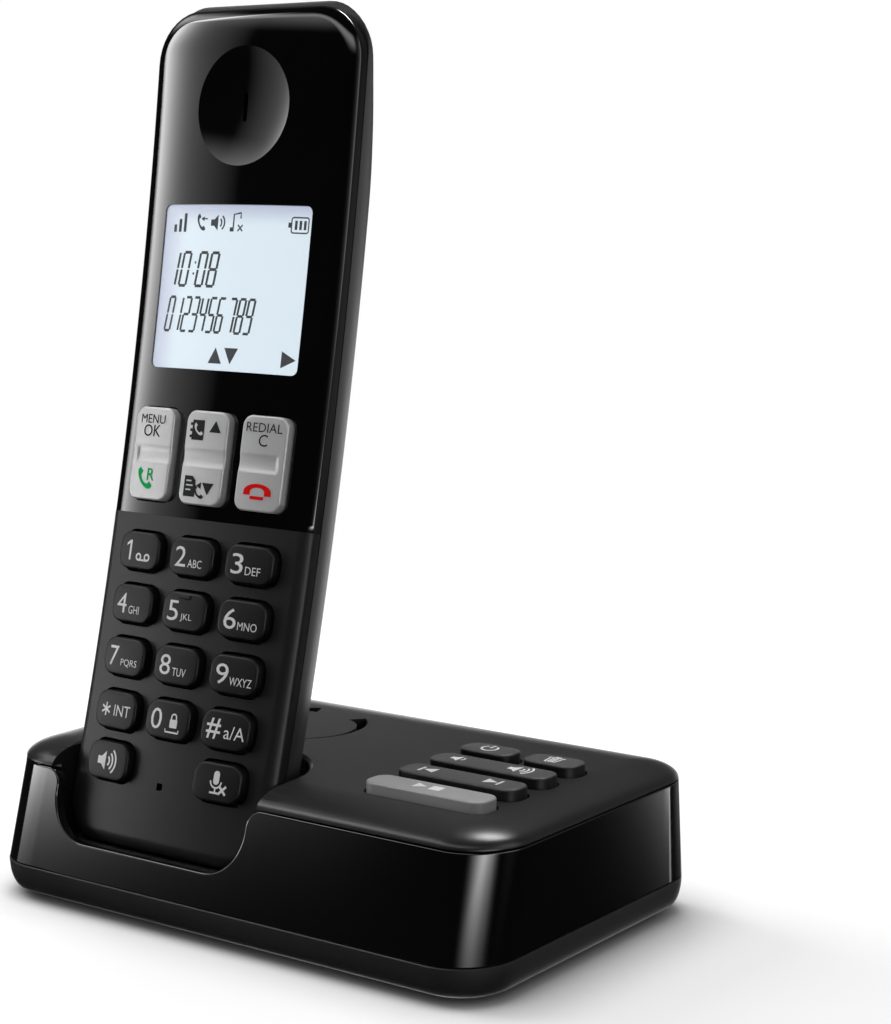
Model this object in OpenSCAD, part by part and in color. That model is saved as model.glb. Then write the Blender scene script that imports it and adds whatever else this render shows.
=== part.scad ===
// Cordless telephone: a slim handset standing in a base station with an answering machine
// Lengths are in millimetres and angles in degrees
// The origin is on the table under the middle of the base, and the front faces -Y

/* [Base] */
// Width of the base at its seam
base_w = 110.8; // [108:0.2:122]
// Depth of the base at its seam
base_d = 69.4; // [68:0.2:80]
// Corner radius of the base in plan
base_corner_r = 10.5; // [8:0.5:12]
// Height of the rubber feet under the plinth
foot_h = 1; // [0.6:0.1:1.6]
// Radius of a rubber foot
foot_r = 4.5; // [3.5:0.1:5]
// From the base's sides to the middle of a foot
foot_margin_x = 22; // [18:0.5:26]
// From the base's front and back to the middle of a foot
foot_margin_y = 11; // [10:0.5:14]
// Height of the plinth, from its underside to the seam
plinth_h = 5.5; // [5:0.1:7]
// How far the plinth's underside is drawn in from the seam
plinth_inset = 1.5; // [0.5:0.1:2.5]
// Height of the gloss band, from the seam to its top edge
band_h = 17.9; // [17:0.1:21]
// Height of the deck's crown over the band
deck_rise = 3.4; // [2.6:0.1:4]
// Width of the deck's rounded shoulder
shoulder_w = 9.8; // [6:0.1:10.4]
// Backward lean of the band's front face
front_draft = 14.3; // [13:0.1:15]
// Inward lean of the band's side faces
side_draft = 1.4; // [0:0.1:3]
// Forward lean of the rear panel
back_draft = 2.6; // [0:0.1:4]
// Wall thickness of the base's mouldings
base_wall = 2; // [1.6:0.1:2.2]
// Length of the rear panel's side returns, from the back
rear_return = 6; // [5:0.1:9]
// Radius of the posts that carry the deck
post_r = 3; // [2.6:0.1:3.2]
// Thickness of the base's circuit board
board_t = 1.2; // [1:0.1:1.6]
// Depth of the circuit board under the deck
board_drop = 5.6; // [5:0.1:6]

/* [Cradle] */
// From the base's left side to the handset's centre line
cradle_margin = 37.5; // [36:0.1:40]
// From the base's front to the handset's foot
cradle_setback = 7.4; // [7.2:0.1:8.4]
// Height of the seat that the handset's foot stands on
seat_z = 11.7; // [11.4:0.1:12.2]
// Backward lean of the handset
lean = 11.7; // [10.5:0.1:12.5]
// Clearance between the handset's sides and the pocket
cradle_clear = 1.5; // [1:0.1:2]
// Width of the window in the front of the band
window_w = 44.9; // [42:0.1:46]
// Radius of the window's lower corners
window_r = 8.3; // [6:0.1:9]
// Radius of the flare at the window's upper corners
window_flare_r = 3; // [2:0.1:4]
// Height of the front lip
lip_z = 12.5; // [12.2:0.1:13.4]

/* [Base keys] */
// From the base's right side to the key block
key_block_margin = 10; // [9:0.1:12]
// Width of a full key
bar_w = 24; // [22:0.1:25]
// Depth of each key
bar_d = 6; // [5.4:0.1:6.4]
// Distance between the rows of keys
bar_pitch = 9.1; // [8.4:0.1:9.4]
// From the base's front to the middle of the front row
bar_setback = 17.9; // [17:0.1:19]
// Gap between the two short keys at the back
short_gap = 3.2; // [2.4:0.1:4]
// How far the keys stand proud of the deck
bar_proud = 1.5; // [1.2:0.1:2]
// Clearance around each key
bar_clear = 0.35; // [0.3:0.05:0.5]
// Travel of a pressed key
bar_travel = 0.8; // [0.5:0.1:1]
// Corner radius of each key
bar_r = 2.4; // [1.5:0.1:2.6]

/* [Loudspeaker] */
// Radius of the round vent in the deck
vent_r = 12.3; // [11:0.1:12.5]
// From the middle of the room behind the cradle forward to the middle of the vent
vent_setback = 2; // [1:0.1:2.6]
// Greatest width of the crescent vent
vent_slot = 1.7; // [1.4:0.1:2]

/* [Sockets] */
// From the base's centre line to the line socket
line_x = 33; // [30:0.5:36]
// From the base's centre line to the power socket
power_x = 15.5; // [14:0.5:17]
// Width of the line socket's opening
line_w = 9.7; // [9.6:0.1:10]
// Height of the line socket's opening
line_h = 7; // [6.8:0.1:7.2]
// Depth of the line socket's body
line_d = 13; // [12:0.1:14]
// Bore of the power socket
power_bore = 5.5; // [5:0.1:6]
// Diameter of the pin in the power socket
power_pin = 1.3; // [1:0.1:2]

/* [Handset] */
// Width of the handset
handset_w = 47; // [46.4:0.2:47.6]
// Length of the handset
handset_l = 152.5; // [152:0.5:160]
// Thickness of the handset
handset_t = 18; // [17.8:0.1:18.6]
// Radius of the hollow curve of its front
front_r = 867; // [820:1:1000]
// Height of the deepest point of that curve
bow_v = 70.5; // [66:0.5:75]
// Radius of the upper corners seen from the front
top_corner_r = 9.5; // [8:0.5:11]
// Radius of the lower corners seen from the front
foot_corner_r = 8; // [6:0.5:10]
// Radius of the long front edges
front_edge_r = 4; // [3:0.1:4]
// Radius of the long back edges
back_edge_r = 15.6; // [15:0.1:16]
// Radius of the ends' back edges
end_edge_r = 6; // [4:0.1:8]
// Depth of the seam between the two covers
seam_depth = 4.2; // [4.1:0.1:4.6]
// Wall thickness of the handset's covers
cover_wall = 1.8; // [1.5:0.1:1.9]

/* [Handset face] */
// Width of the gloss fascia
fascia_w = 46; // [44:0.1:46.2]
// Height of the fascia's lower edge
fascia_foot = 59.6; // [59.2:0.1:60.2]
// Height of the bare rim over the fascia
fascia_rim = 2.6; // [2:0.1:4]
// Thickness of the fascia
fascia_t = 1; // [0.8:0.1:1.1]
// Width of the display window
display_w = 34.4; // [32:0.1:36]
// Height of the display window
display_h = 29.6; // [28:0.1:31]
// Height of the middle of the display
display_v = 101.1; // [99:0.1:103]
// Radius of the earpiece dish
dish_r = 10.6; // [9:0.1:11]
// Depth of the earpiece dish
dish_depth = 1.3; // [1:0.1:1.4]
// Height of the middle of the dish
dish_v = 133.4; // [132:0.1:134]

/* [Handset keys] */
// Distance between the columns of keys
column_pitch = 12.95; // [12.6:0.05:13.2]
// Distance between the rows of number keys
row_pitch = 9.64; // [9.4:0.02:9.8]
// Height of the top row of number keys
row_v = 52.8; // [52:0.1:53]
// From the bottom row of number keys to the loudspeaker and mute keys
call_pitch = 9.1; // [9:0.05:9.5]
// Width of a number key
digit_w = 11.4; // [10.5:0.1:11.6]
// Height of a number key
digit_h = 7.6; // [7:0.1:8]
// Corner radius of a number key
digit_r = 2.6; // [1.5:0.1:3]
// How far the number keys stand proud
digit_proud = 0.9; // [0.6:0.1:1.2]
// Clearance around each key
digit_clear = 0.3; // [0.25:0.05:0.4]
// Travel of a pressed key
digit_travel = 0.7; // [0.4:0.1:0.8]
// Width of a rocker key
rocker_w = 10.2; // [9.5:0.1:10.6]
// Height of a rocker key
rocker_h = 16.8; // [15:0.1:17.2]
// Height of the middle of the rocker keys
rocker_v = 70.5; // [70:0.1:71]
// How far the rocker keys stand proud
rocker_proud = 0.9; // [0.6:0.1:1.2]
// From the loudspeaker and mute keys down to the microphone hole
mic_drop = 2.9; // [2.8:0.1:3.4]
// From the handset's centre line to the microphone hole
mic_u = -0.7; // [-1:0.1:0]

/* [Handset power] */
// Diameter of a battery cell
cell_d = 10.5; // [9.5:0.1:10.5]
// Length of a battery cell
cell_l = 44.5; // [40:0.1:45]
// Height of the lower end of the cells
cell_v = 36; // [35:0.1:37]
// Distance between the two charging contacts
contact_pitch = 20; // [16:0.5:24]
// Width of a charging contact
contact_w = 3; // [2:0.1:4]
// Travel of a charging contact
contact_travel = 0.8; // [0.4:0.1:1]
// From the front of the seat to the charging contacts
contact_depth = 6; // [5.4:0.1:6.2]
// Thickness of the battery door
door_t = 1.4; // [1.1:0.1:1.5]
// Thickness of the handset's circuit board
card_t = 0.8; // [0.6:0.1:0.9]
// Radius of every screw's thread
screw_r = 1.2; // [1:0.05:1.3]
// Height of the ringer's middle
ringer_v = 112; // [108:0.5:114]

/* [Hidden] */
$fn = 48;
slice = 0.02;
far = 60;
seam_gap = 0.15;
fit_gap = 0.1;
loose_gap = 0.25;
foot_sink = 0.5;
end_wall = 3.5;
fascia_skirt = 2.4;
head_r = 2.2;
head_t = 0.8;
boss_r = 2;
low_screw_rise = 2.4;
top_screw_u = 14;
board_post_r = 2.4;
mic_r = 2.4;
earpiece_t = 3.4;
ringer_r = 9;
ringer_t = 5;
magnet_r = 7;
magnet_h = 3;
cone_h = 2.5;
speaker_rim_t = 1.6;
speaker_drop = 0.8;
power_d = 11;
power_neck = 3;
pin_recess = 1.5;
card_w = 36;
card_foot = 7;
socket_back = 2.5;
sleeve_r = 3.2;
pocket_corner_r = 12;
flange_t = 0.9;
flange_lap = 0.7;
flange_gap = 0.5;
rocker_flange_w = 8;
key_lip = 0.5;
key_lip_t = 0.6;
mat_t = 0.65;
plate_w = 5;
plate_d = 6;
plate_t = 0.4;
contact_r = 1.4;
contact_foot_t = 0.8;
socket_wall = 1.6;
socket_recess = 0.8;
keyway_w = 6;
keyway_h = 1.5;
cell_gap = 0.8;
door_margin = 5;

seam_z = foot_h + plinth_h;
band_top_z = seam_z + band_h;
deck_z = band_top_z + deck_rise;
floor_top_z = foot_h + base_wall;
seat_t = base_wall - 0.4;
handset_x = cradle_margin - base_w / 2;
handset_y = cradle_setback - base_d / 2;
pocket_half = handset_w / 2 + cradle_clear;
rear_split_y = base_d / 2 - rear_return;
key_block_x = base_w / 2 - key_block_margin - bar_w / 2;
short_w = (bar_w - short_gap) / 2;
vent_x = handset_x;
tub_back_y = handset_y + (handset_t + cradle_clear / 2 + seat_t) * cos(lean) + (deck_z - seat_z) * tan(lean);
vent_y = (tub_back_y + back_y(band_top_z) - base_wall) / 2 - vent_setback;
vent_shift = [-0.48 * vent_slot, -0.36 * vent_slot];
flange_z = deck_z - base_wall - flange_gap;
board_top_z = deck_z - base_wall - board_drop;
board_bottom_z = board_top_z - board_t;
board_left = handset_x + pocket_half + seat_t + 1;
board_right = side_x(band_top_z) - base_wall - 1;
board_front = front_y(band_top_z) + base_wall + 1;
board_back = back_y(band_top_z) - base_wall - 1;
line_body_h = line_h + 2 * (keyway_h + 1);
socket_z = board_bottom_z - line_body_h / 2;
socket_face_y = back_y(socket_z) - socket_recess;
power_wall_r = power_bore / 2 + 1.3;
contact_foot = -seat_t - 2 * fit_gap;
contact_top = contact_travel / 2;
plate_sink = contact_top + fit_gap + plate_t;

bow_half = asin((max(bow_v, handset_l - bow_v) + 15) / front_r);
call_row_v = row_v - 3 * row_pitch - call_pitch;
mic_v = call_row_v - mic_drop;
mat_h = rocker_v + rocker_h / 2 + 1.5 - mic_v + mic_r;
mat_depth = cover_wall + 0.2 + key_lip_t + digit_travel + 0.35;
card_depth = mat_depth + mat_t + fit_gap;
card_back = card_depth + card_t;
dish_ball_r = (dish_r * dish_r + dish_depth * dish_depth) / (2 * dish_depth);
boss_end = handset_t - 7;
top_screw_v = display_v + display_h / 2 + 6.6;
cell_mid_v = cell_v + cell_l / 2;
cell_u = (cell_d + cell_gap) / 2;
cell_sag = cell_l * cell_l / (8 * front_r);
cell_depth = handset_t - door_t - loose_gap - cell_sag - cell_d / 2;
door_w = 2 * cell_d + cell_gap + 2 * door_margin - 5;
door_h = cell_l + 2 * door_margin + 1;

CORNERS = [[-1, -1], [1, -1], [-1, 1], [1, 1]];
BOARD_POSTS = [
    [board_left + 5, board_front + 3], [board_right - 12, board_front + 3],
    [(power_x + power_wall_r + line_x - line_w / 2 - socket_wall) / 2, board_back - 6]
];
COVER_SCREWS = [[0, call_row_v + low_screw_rise], [-top_screw_u, top_screw_v], [top_screw_u, top_screw_v]];
SHORT_KEYS = [["power_key", -1], ["delete_key", 1]];
NUMBER_KEYS = [
    ["key_1", -1, 0], ["key_2", 0, 0], ["key_3", 1, 0],
    ["key_4", -1, 1], ["key_5", 0, 1], ["key_6", 1, 1],
    ["key_7", -1, 2], ["key_8", 0, 2], ["key_9", 1, 2],
    ["key_star", -1, 3], ["key_0", 0, 3], ["key_hash", 1, 3]
];
CALL_KEYS = [["key_speaker", -1], ["key_mute", 1]];
ROCKER_KEYS = [["menu_talk_key", -1], ["up_down_key", 0], ["redial_end_key", 1]];
CONTACTS = [["charge_contact_left", -1], ["charge_contact_right", 1]];

// Edges of the base's drafted walls at a height
function side_x(z) = base_w / 2 - (z - seam_z) * tan(side_draft);
function front_y(z) = -base_d / 2 + (z - seam_z) * tan(front_draft);
function back_y(z) = base_d / 2 - (z - seam_z) * tan(back_draft);

// Places of the posts, the feet, the short keys and the rows of number keys
function post_x(s) = s * (side_x(band_top_z) - base_wall - 4.6);
function post_y(s) = s < 0 ? front_y(band_top_z) + base_wall + 5.2 : rear_split_y - post_r;
function foot_x(s) = s * (base_w / 2 - foot_margin_x);
function foot_y(s) = s * (base_d / 2 - foot_margin_y);
function short_x(side) = side * (short_gap + short_w) / 2;
function digit_v(row) = row_v - row * row_pitch;

// Rectangle with round corners, centred, made of squares and circles
module round_rect(w, h, r) {
    square([w - 2 * r, h], center = true);
    square([w, h - 2 * r], center = true);
    for (x = [-1, 1], y = [-1, 1])
        translate([x * (w / 2 - r), y * (h / 2 - r)]) circle(r);
}

// Four thin corner discs of the base's outline at the wall's height level, drawn in and set at height z
module corner_discs(level, inset, z) {
    r = max(base_corner_r - inset, 0.6);
    x = side_x(level) - inset - r;
    for (sx = [-1, 1], y = [front_y(level) + inset + r, back_y(level) - inset - r])
        translate([sx * x, y, z]) cylinder(r = r, h = slice, $fn = 32);
}

// Drafted block between two heights, drawn in all round
module base_block(z0, z1, inset) {
    hull() {
        corner_discs(z0, inset, z0);
        corner_discs(z1, inset, z1 - slice);
    }
}

// Crowned block of the deck, with its elliptical shoulder drawn in and lowered by a wall
module deck_block(wall) {
    hull()
        for (a = [0 : 22.5 : 90])
            corner_discs(band_top_z, wall + shoulder_w * (1 - cos(a)),
                         band_top_z + seam_gap + (deck_rise - seam_gap - wall) * sin(a) - slice
                         - (wall > 0 ? (1 - sin(a)) * base_wall : 0));
}

// Window in the front of the band: round below, flared above
module window_2d() {
    top = band_top_z + 1;
    half = window_w / 2;
    translate([0, lip_z + window_r]) {
        for (x = [-1, 1])
            translate([x * (half - window_r), 0]) circle(window_r);
        translate([0, -window_r / 2]) square([window_w - 2 * window_r, window_r], center = true);
    }
    translate([-half, lip_z + window_r]) square([window_w, top - lip_z - window_r]);
    for (x = [-1, 1])
        difference() {
            translate([x * (half + window_flare_r / 2), band_top_z - window_flare_r / 2 + 0.5])
                square([window_flare_r + slice, window_flare_r + 1], center = true);
            translate([x * (half + window_flare_r), band_top_z - window_flare_r]) circle(window_flare_r);
        }
}

module window_cut() {
    translate([handset_x, handset_y, 0])
        rotate([90, 0, 0])
            linear_extrude(base_d) window_2d();
}

// Places handset pieces: x across, y into the handset from its front, z up along it
module in_cradle() {
    translate([handset_x, handset_y, seat_z]) rotate([-lean, 0, 0]) children();
}

// The pocket's inner space, grown by a wall, along the handset's own axis
module pocket(grow) {
    back = handset_t + cradle_clear / 2 + grow;
    r = pocket_corner_r + grow;
    half = pocket_half + grow;
    in_cradle()
        translate([0, 0, -grow - fit_gap])
            linear_extrude(far) {
                translate([-half, -far / 2]) square([2 * half, far / 2 + back - r]);
                translate([-half + r, 0]) square([2 * (half - r), back]);
                for (x = [-1, 1]) translate([x * (half - r), back - r]) circle(r);
            }
}

// Places a key in the deck's key block: row 0 is the front row
module at_bar(row, dx) {
    translate([key_block_x + dx, -base_d / 2 + bar_setback + row * bar_pitch, 0]) children();
}

// Cap, neck and stop flange of one base key; a rocker's flange stops short of its ends
module bar_key(w, flange_w) {
    translate([0, 0, flange_z]) linear_extrude(deck_z + bar_proud - flange_z) round_rect(w, bar_d, bar_r);
    translate([0, 0, flange_z - flange_t])
        linear_extrude(flange_t + slice) round_rect(flange_w, bar_d + 2 * flange_lap, bar_r);
}

module bar_opening(w) {
    translate([0, 0, deck_z - far / 2])
        linear_extrude(far) round_rect(w + 2 * bar_clear, bar_d + 2 * bar_clear, bar_r + bar_clear);
}

// Places pieces at the four posts of the deck
module at_posts() {
    for (c = CORNERS) translate([post_x(c[0]), post_y(c[1]), 0]) children();
}

module at_feet() {
    for (c = CORNERS) translate([foot_x(c[0]), foot_y(c[1]), 0]) children();
}

module at_board_posts() {
    for (p = BOARD_POSTS) translate([p[0], p[1], 0]) children();
}

// Screw with its head below its thread
module screw(thread_l) {
    cylinder(r = head_r, h = head_t);
    cylinder(r = screw_r - fit_gap / 2, h = head_t + thread_l);
}

module base_plinth() color("dimgray")
    difference() {
        union() {
            difference() {
                hull() {
                    corner_discs(seam_z, plinth_inset, foot_h);
                    corner_discs(seam_z, 0, seam_z - slice);
                }
                hull() {
                    corner_discs(seam_z, plinth_inset + base_wall, floor_top_z);
                    corner_discs(seam_z, base_wall, seam_z);
                }
            }
            at_board_posts()
                translate([0, 0, floor_top_z - slice])
                    cylinder(r = board_post_r, h = board_bottom_z - floor_top_z + slice);
        }
        at_posts() cylinder(r = screw_r + 2 * fit_gap, h = far, center = true);
        at_posts() cylinder(r = head_r + 2 * fit_gap, h = foot_h + head_t);
        at_feet() cylinder(r = foot_r + fit_gap, h = foot_h + foot_sink);
        at_board_posts() translate([0, 0, board_bottom_z - 6]) cylinder(r = screw_r, h = far);
    }

module base_feet() color("black")
    at_feet() cylinder(r = foot_r, h = foot_h + foot_sink);

// Ring of the gloss band and of the rear panel, between the seam and the deck
module band_ring() {
    difference() {
        base_block(seam_z + seam_gap, band_top_z, 0);
        base_block(seam_z - 1, band_top_z + 1, base_wall);
    }
}

module base_band() color("black")
    difference() {
        band_ring();
        window_cut();
        translate([-base_w, rear_split_y, 0]) cube([2 * base_w, base_d, far]);
    }

module base_rear_panel() color([0.2, 0.2, 0.21])
    difference() {
        intersection() {
            band_ring();
            translate([-base_w, rear_split_y + seam_gap * 2, 0]) cube([2 * base_w, base_d, far]);
        }
        translate([line_x, base_d / 2, socket_z])
            cube([line_w + 2 * socket_wall + 0.4, far / 3, line_body_h + 0.4], center = true);
        translate([power_x, base_d / 2, socket_z])
            rotate([90, 0, 0]) cylinder(r = power_wall_r + 0.3, h = far / 3, center = true);
    }

module base_deck() color([0.24, 0.24, 0.25]) {
    difference() {
        union() {
            difference() {
                deck_block(0);
                deck_block(base_wall);
            }
            intersection() {
                pocket(seat_t);
                union() {
                    deck_block(0);
                    base_block(floor_top_z + 0.4, band_top_z + 0.5, base_wall + 0.3);
                }
            }
        }
        pocket(0);
        window_cut();
        for (row = [0 : 2]) at_bar(row, 0) bar_opening(bar_w);
        for (k = SHORT_KEYS) at_bar(3, short_x(k[1])) bar_opening(short_w);
        translate([vent_x, vent_y, deck_z - 4])
            linear_extrude(8)
                difference() {
                    circle(vent_r);
                    translate(vent_shift) circle(vent_r - 0.4 * vent_slot);
                }
        for (k = CONTACTS) in_cradle()
            translate([k[1] * contact_pitch / 2, contact_depth, 0])
                cube([contact_w + 2 * loose_gap, 2 * (contact_r + loose_gap), far / 3], center = true);
    }
    at_posts()
        difference() {
            translate([0, 0, floor_top_z]) cylinder(r = post_r, h = deck_z - base_wall - floor_top_z);
            cylinder(r = screw_r, h = floor_top_z + 9);
        }
    translate([vent_x, vent_y, deck_z - base_wall - speaker_drop - speaker_rim_t])
        difference() {
            cylinder(r = vent_r + 2, h = speaker_drop + speaker_rim_t + slice);
            translate([0, 0, -1]) cylinder(r = vent_r + 0.4, h = speaker_drop + speaker_rim_t + 2);
        }
}

module base_screws() color("silver") {
    at_posts() translate([0, 0, foot_h]) screw(8);
    at_board_posts() translate([0, 0, board_top_z + head_t]) mirror([0, 0, 1]) screw(6);
}

// The board under the deck carries the keys' switches and both sockets
module base_circuit_board() color("darkgreen")
    difference() {
        translate([(board_left + board_right) / 2, (board_front + board_back) / 2, board_bottom_z])
            linear_extrude(board_t)
                round_rect(board_right - board_left, board_back - board_front, base_corner_r - base_wall - 1);
        at_posts() cylinder(r = post_r + 1, h = far);
        at_board_posts() cylinder(r = screw_r + fit_gap, h = far);
    }

module base_key_mat() color("gray")
    translate([0, 0, board_top_z]) {
        at_bar(1.5, 0) linear_extrude(0.8) round_rect(bar_w, 4 * bar_pitch, 1);
        for (row = [0 : 3], x = [-1, 1])
            at_bar(row, x * bar_w / 3.4)
                cylinder(r = 2, h = flange_z - flange_t - bar_travel - board_top_z - loose_gap);
    }

module loudspeaker() color("darkslategray")
    translate([vent_x, vent_y, deck_z - base_wall - speaker_drop - speaker_rim_t]) {
        cylinder(r = vent_r + 0.2, h = speaker_rim_t);
        translate([0, 0, -cone_h]) cylinder(r1 = magnet_r, r2 = vent_r - 1, h = cone_h + slice);
        translate([0, 0, -cone_h - magnet_h]) cylinder(r = magnet_r, h = magnet_h + slice);
    }

module line_socket() color([0.15, 0.15, 0.16])
    translate([line_x, socket_face_y, socket_z])
        difference() {
            translate([-line_w / 2 - socket_wall, -line_d, -line_body_h / 2])
                cube([line_w + 2 * socket_wall, line_d, line_body_h]);
            translate([-line_w / 2, socket_back - line_d, -line_h / 2]) cube([line_w, far, line_h]);
            translate([-keyway_w / 2, socket_back - line_d, -line_h / 2 - keyway_h])
                cube([keyway_w, far, 2 * keyway_h]);
        }

module power_socket() color("black")
    translate([power_x, socket_face_y, socket_z])
        rotate([90, 0, 0]) {
            difference() {
                union() {
                    cylinder(r = power_wall_r, h = power_neck + 1);
                    translate([-power_wall_r, -power_wall_r, power_neck])
                        cube([2 * power_wall_r, power_wall_r + line_body_h / 2, power_d - power_neck]);
                }
                translate([0, 0, -1]) cylinder(r = power_bore / 2, h = power_d - socket_back + 1);
            }
            translate([0, 0, pin_recess]) cylinder(r = power_pin / 2, h = power_d - pin_recess - 1);
        }

// Sprung contact in the pocket's seat: a bump, a stem through the slot and a foot below it
module charge_contact(side) color("gold")
    in_cradle()
        translate([side * contact_pitch / 2, contact_depth, 0]) {
            translate([0, 0, contact_top - contact_r])
                rotate([0, 90, 0]) cylinder(r = contact_r, h = contact_w, center = true);
            translate([-contact_w / 2, -contact_r, contact_foot])
                cube([contact_w, 2 * contact_r, contact_top - contact_r - contact_foot]);
            translate([-contact_w / 2 - 1, -contact_r - 1, contact_foot - contact_foot_t])
                cube([contact_w + 2, 2 * contact_r + 2, contact_foot_t + slice]);
        }

module play_stop_key() color("lightgray") at_bar(0, 0) bar_key(bar_w, bar_w + 2 * flange_lap);
module skip_key() color([0.25, 0.25, 0.26]) at_bar(1, 0) bar_key(bar_w, rocker_flange_w);
module volume_key() color([0.25, 0.25, 0.26]) at_bar(2, 0) bar_key(bar_w, rocker_flange_w);
module short_key(side) color([0.25, 0.25, 0.26])
    at_bar(3, short_x(side)) bar_key(short_w, short_w + 2 * flange_lap);

// Cross-section of the handset, depth along x and width along y, drawn in all round
module section_2d(inset) {
    half = handset_w / 2 - inset;
    back = handset_t - inset;
    rf = max(front_edge_r - inset, 0.5);
    rb = max(back_edge_r - inset, 0.5);
    join = seam_depth + seam_gap / 2;
    translate([inset + rf, -half]) square([join - inset - rf, 2 * half]);
    translate([inset, -half + rf]) square([rf, 2 * (half - rf)]);
    translate([inset, -half + rb]) square([back - inset, 2 * (half - rb)]);
    for (s = [-1, 1])
        translate([inset + rf, s * (half - rf)]) circle(rf);
    intersection() {
        for (s = [-1, 1])
            translate([back - rb, s * (half - rb)]) circle(rb);
        translate([join, -far]) square([far, 2 * far]);
    }
}

// Sweeps a cross-section along the hollow curve of the front
module bowed() {
    translate([0, -front_r, bow_v])
        rotate([90, 0, 90])
            rotate([0, 0, -bow_half])
                rotate_extrude(angle = 2 * bow_half, $fn = 720) translate([front_r, 0]) children();
}

// Front outline of the handset, drawn in all round
module outline_2d(inset) {
    half = handset_w / 2 - inset;
    rt = top_corner_r - inset;
    rb = foot_corner_r - inset;
    low = inset;
    high = handset_l - inset;
    translate([-half, low + rb]) square([2 * half, high - low - rt - rb]);
    translate([-half + rb, low]) square([2 * (half - rb), rb + slice]);
    translate([-half + rt, high - rt - slice]) square([2 * (half - rt), rt + slice]);
    for (s = [-1, 1]) {
        translate([s * (half - rb), low + rb]) circle(rb);
        translate([s * (half - rt), high - rt]) circle(rt);
    }
}

// Side outline: square in front, with the back edges of both ends rounded onto the bowed back
module side_2d(inset) {
    r = end_edge_r - inset;
    arm = front_r + handset_t - end_edge_r;
    for (end = [end_edge_r, handset_l - end_edge_r]) {
        y = sqrt(arm * arm - (end - bow_v) * (end - bow_v)) - front_r;
        translate([y, end]) circle(r);
        translate([-far, min(end, handset_l / 2)]) square([far + y, abs(end - handset_l / 2)]);
        translate([-far, end < bow_v ? inset : end - slice]) square([far + y, end_edge_r - inset + slice]);
    }
    a0 = asin((end_edge_r - bow_v) / arm);
    a1 = asin((handset_l - end_edge_r - bow_v) / arm);
    reach = arm + far;
    polygon([[-front_r, bow_v],
             [reach * cos(a0) - front_r, reach * sin(a0) + bow_v],
             [reach * cos(a1) - front_r, reach * sin(a1) + bow_v]]);
}

// The handset's outer form, drawn in all round
module handset_block(inset) {
    intersection() {
        bowed() section_2d(inset);
        rotate([90, 0, 0]) linear_extrude(4 * far, center = true) outline_2d(inset);
        rotate([90, 0, 90]) linear_extrude(4 * far, center = true) side_2d(inset);
    }
}

// Inner space of the covers, with plain chamfers where the outside is round
module cavity_2d() {
    half = handset_w / 2 - cover_wall;
    rf = front_edge_r - cover_wall;
    rb = back_edge_r - cover_wall;
    back = handset_t - cover_wall;
    edge = concat([[cover_wall, half - rf], [cover_wall + rf, half]],
                  [for (a = [22.5, 45, 67.5, 80, 90]) [back - rb + rb * sin(a), half - rb + rb * cos(a)]]);
    polygon(concat(edge, [for (i = [len(edge) - 1 : -1 : 0]) [edge[i][0], -edge[i][1]]]));
}

module cavity() {
    half = handset_w / 2 - cover_wall;
    low = end_wall;
    high = handset_l - end_wall;
    edge = [[half - foot_corner_r * 0.6, low], [half, foot_corner_r], [half, handset_l - top_corner_r],
            [half - top_corner_r * 0.6, high]];
    intersection() {
        bowed() cavity_2d();
        rotate([90, 0, 0])
            linear_extrude(4 * far, center = true)
                polygon(concat(edge, [for (i = [len(edge) - 1 : -1 : 0]) [-edge[i][0], edge[i][1]]]));
    }
}

// Skin of the front, down to the fascia's skirt
module skin_2d(thickness) {
    difference() {
        intersection() {
            section_2d(0);
            translate([-1, -far]) square([1 + fascia_skirt, 2 * far]);
        }
        section_2d(thickness);
    }
}

// The space between two depths behind the bowed front
module depth_zone(from, to) {
    bowed() translate([from, -far]) square([to - from, 2 * far]);
}

// Places a piece on the bowed front: x across, y inward, z up
module on_front(u, v) {
    translate([0, -front_r, bow_v])
        rotate([asin((v - bow_v) / front_r), 0, 0])
            translate([u, front_r, 0]) children();
}

// A rounded bar through the front, from a height over it to a depth under it
module front_bar(w, h, r, proud, depth) {
    translate([0, depth, 0]) rotate([90, 0, 0]) linear_extrude(depth + proud) round_rect(w, h, r);
}

module key_openings() {
    for (k = NUMBER_KEYS)
        on_front(k[1] * column_pitch, digit_v(k[2]))
            front_bar(digit_w + 2 * digit_clear, digit_h + 2 * digit_clear, digit_r + digit_clear, 6, 6);
    for (k = CALL_KEYS)
        on_front(k[1] * column_pitch, call_row_v)
            front_bar(digit_w + 2 * digit_clear, digit_h + 2 * digit_clear, digit_r + digit_clear, 6, 6);
}

module rocker_openings() {
    for (k = ROCKER_KEYS)
        on_front(k[1] * column_pitch, rocker_v)
            front_bar(rocker_w + 2 * digit_clear, rocker_h + 3 * digit_clear, 1.5, 6, 6);
}

// Outline of the gloss fascia, drawn in by a gap
module fascia_prism(gap) {
    top = handset_l - fascia_rim;
    h = top - fascia_foot;
    translate([0, 0, (top + fascia_foot) / 2])
        rotate([90, 0, 0])
            linear_extrude(2 * far, center = true) round_rect(fascia_w - 2 * gap, h - 2 * gap, 7);
}

module display_opening(gap) {
    on_front(0, display_v) front_bar(display_w + 2 * gap, display_h + 2 * gap, 2.5, 6, card_depth);
}

// Places pieces at the cover screws, along the depth axis
module at_cover_screws() {
    for (p = COVER_SCREWS) on_front(p[0], p[1]) rotate([-90, 0, 0]) children();
}

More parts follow.
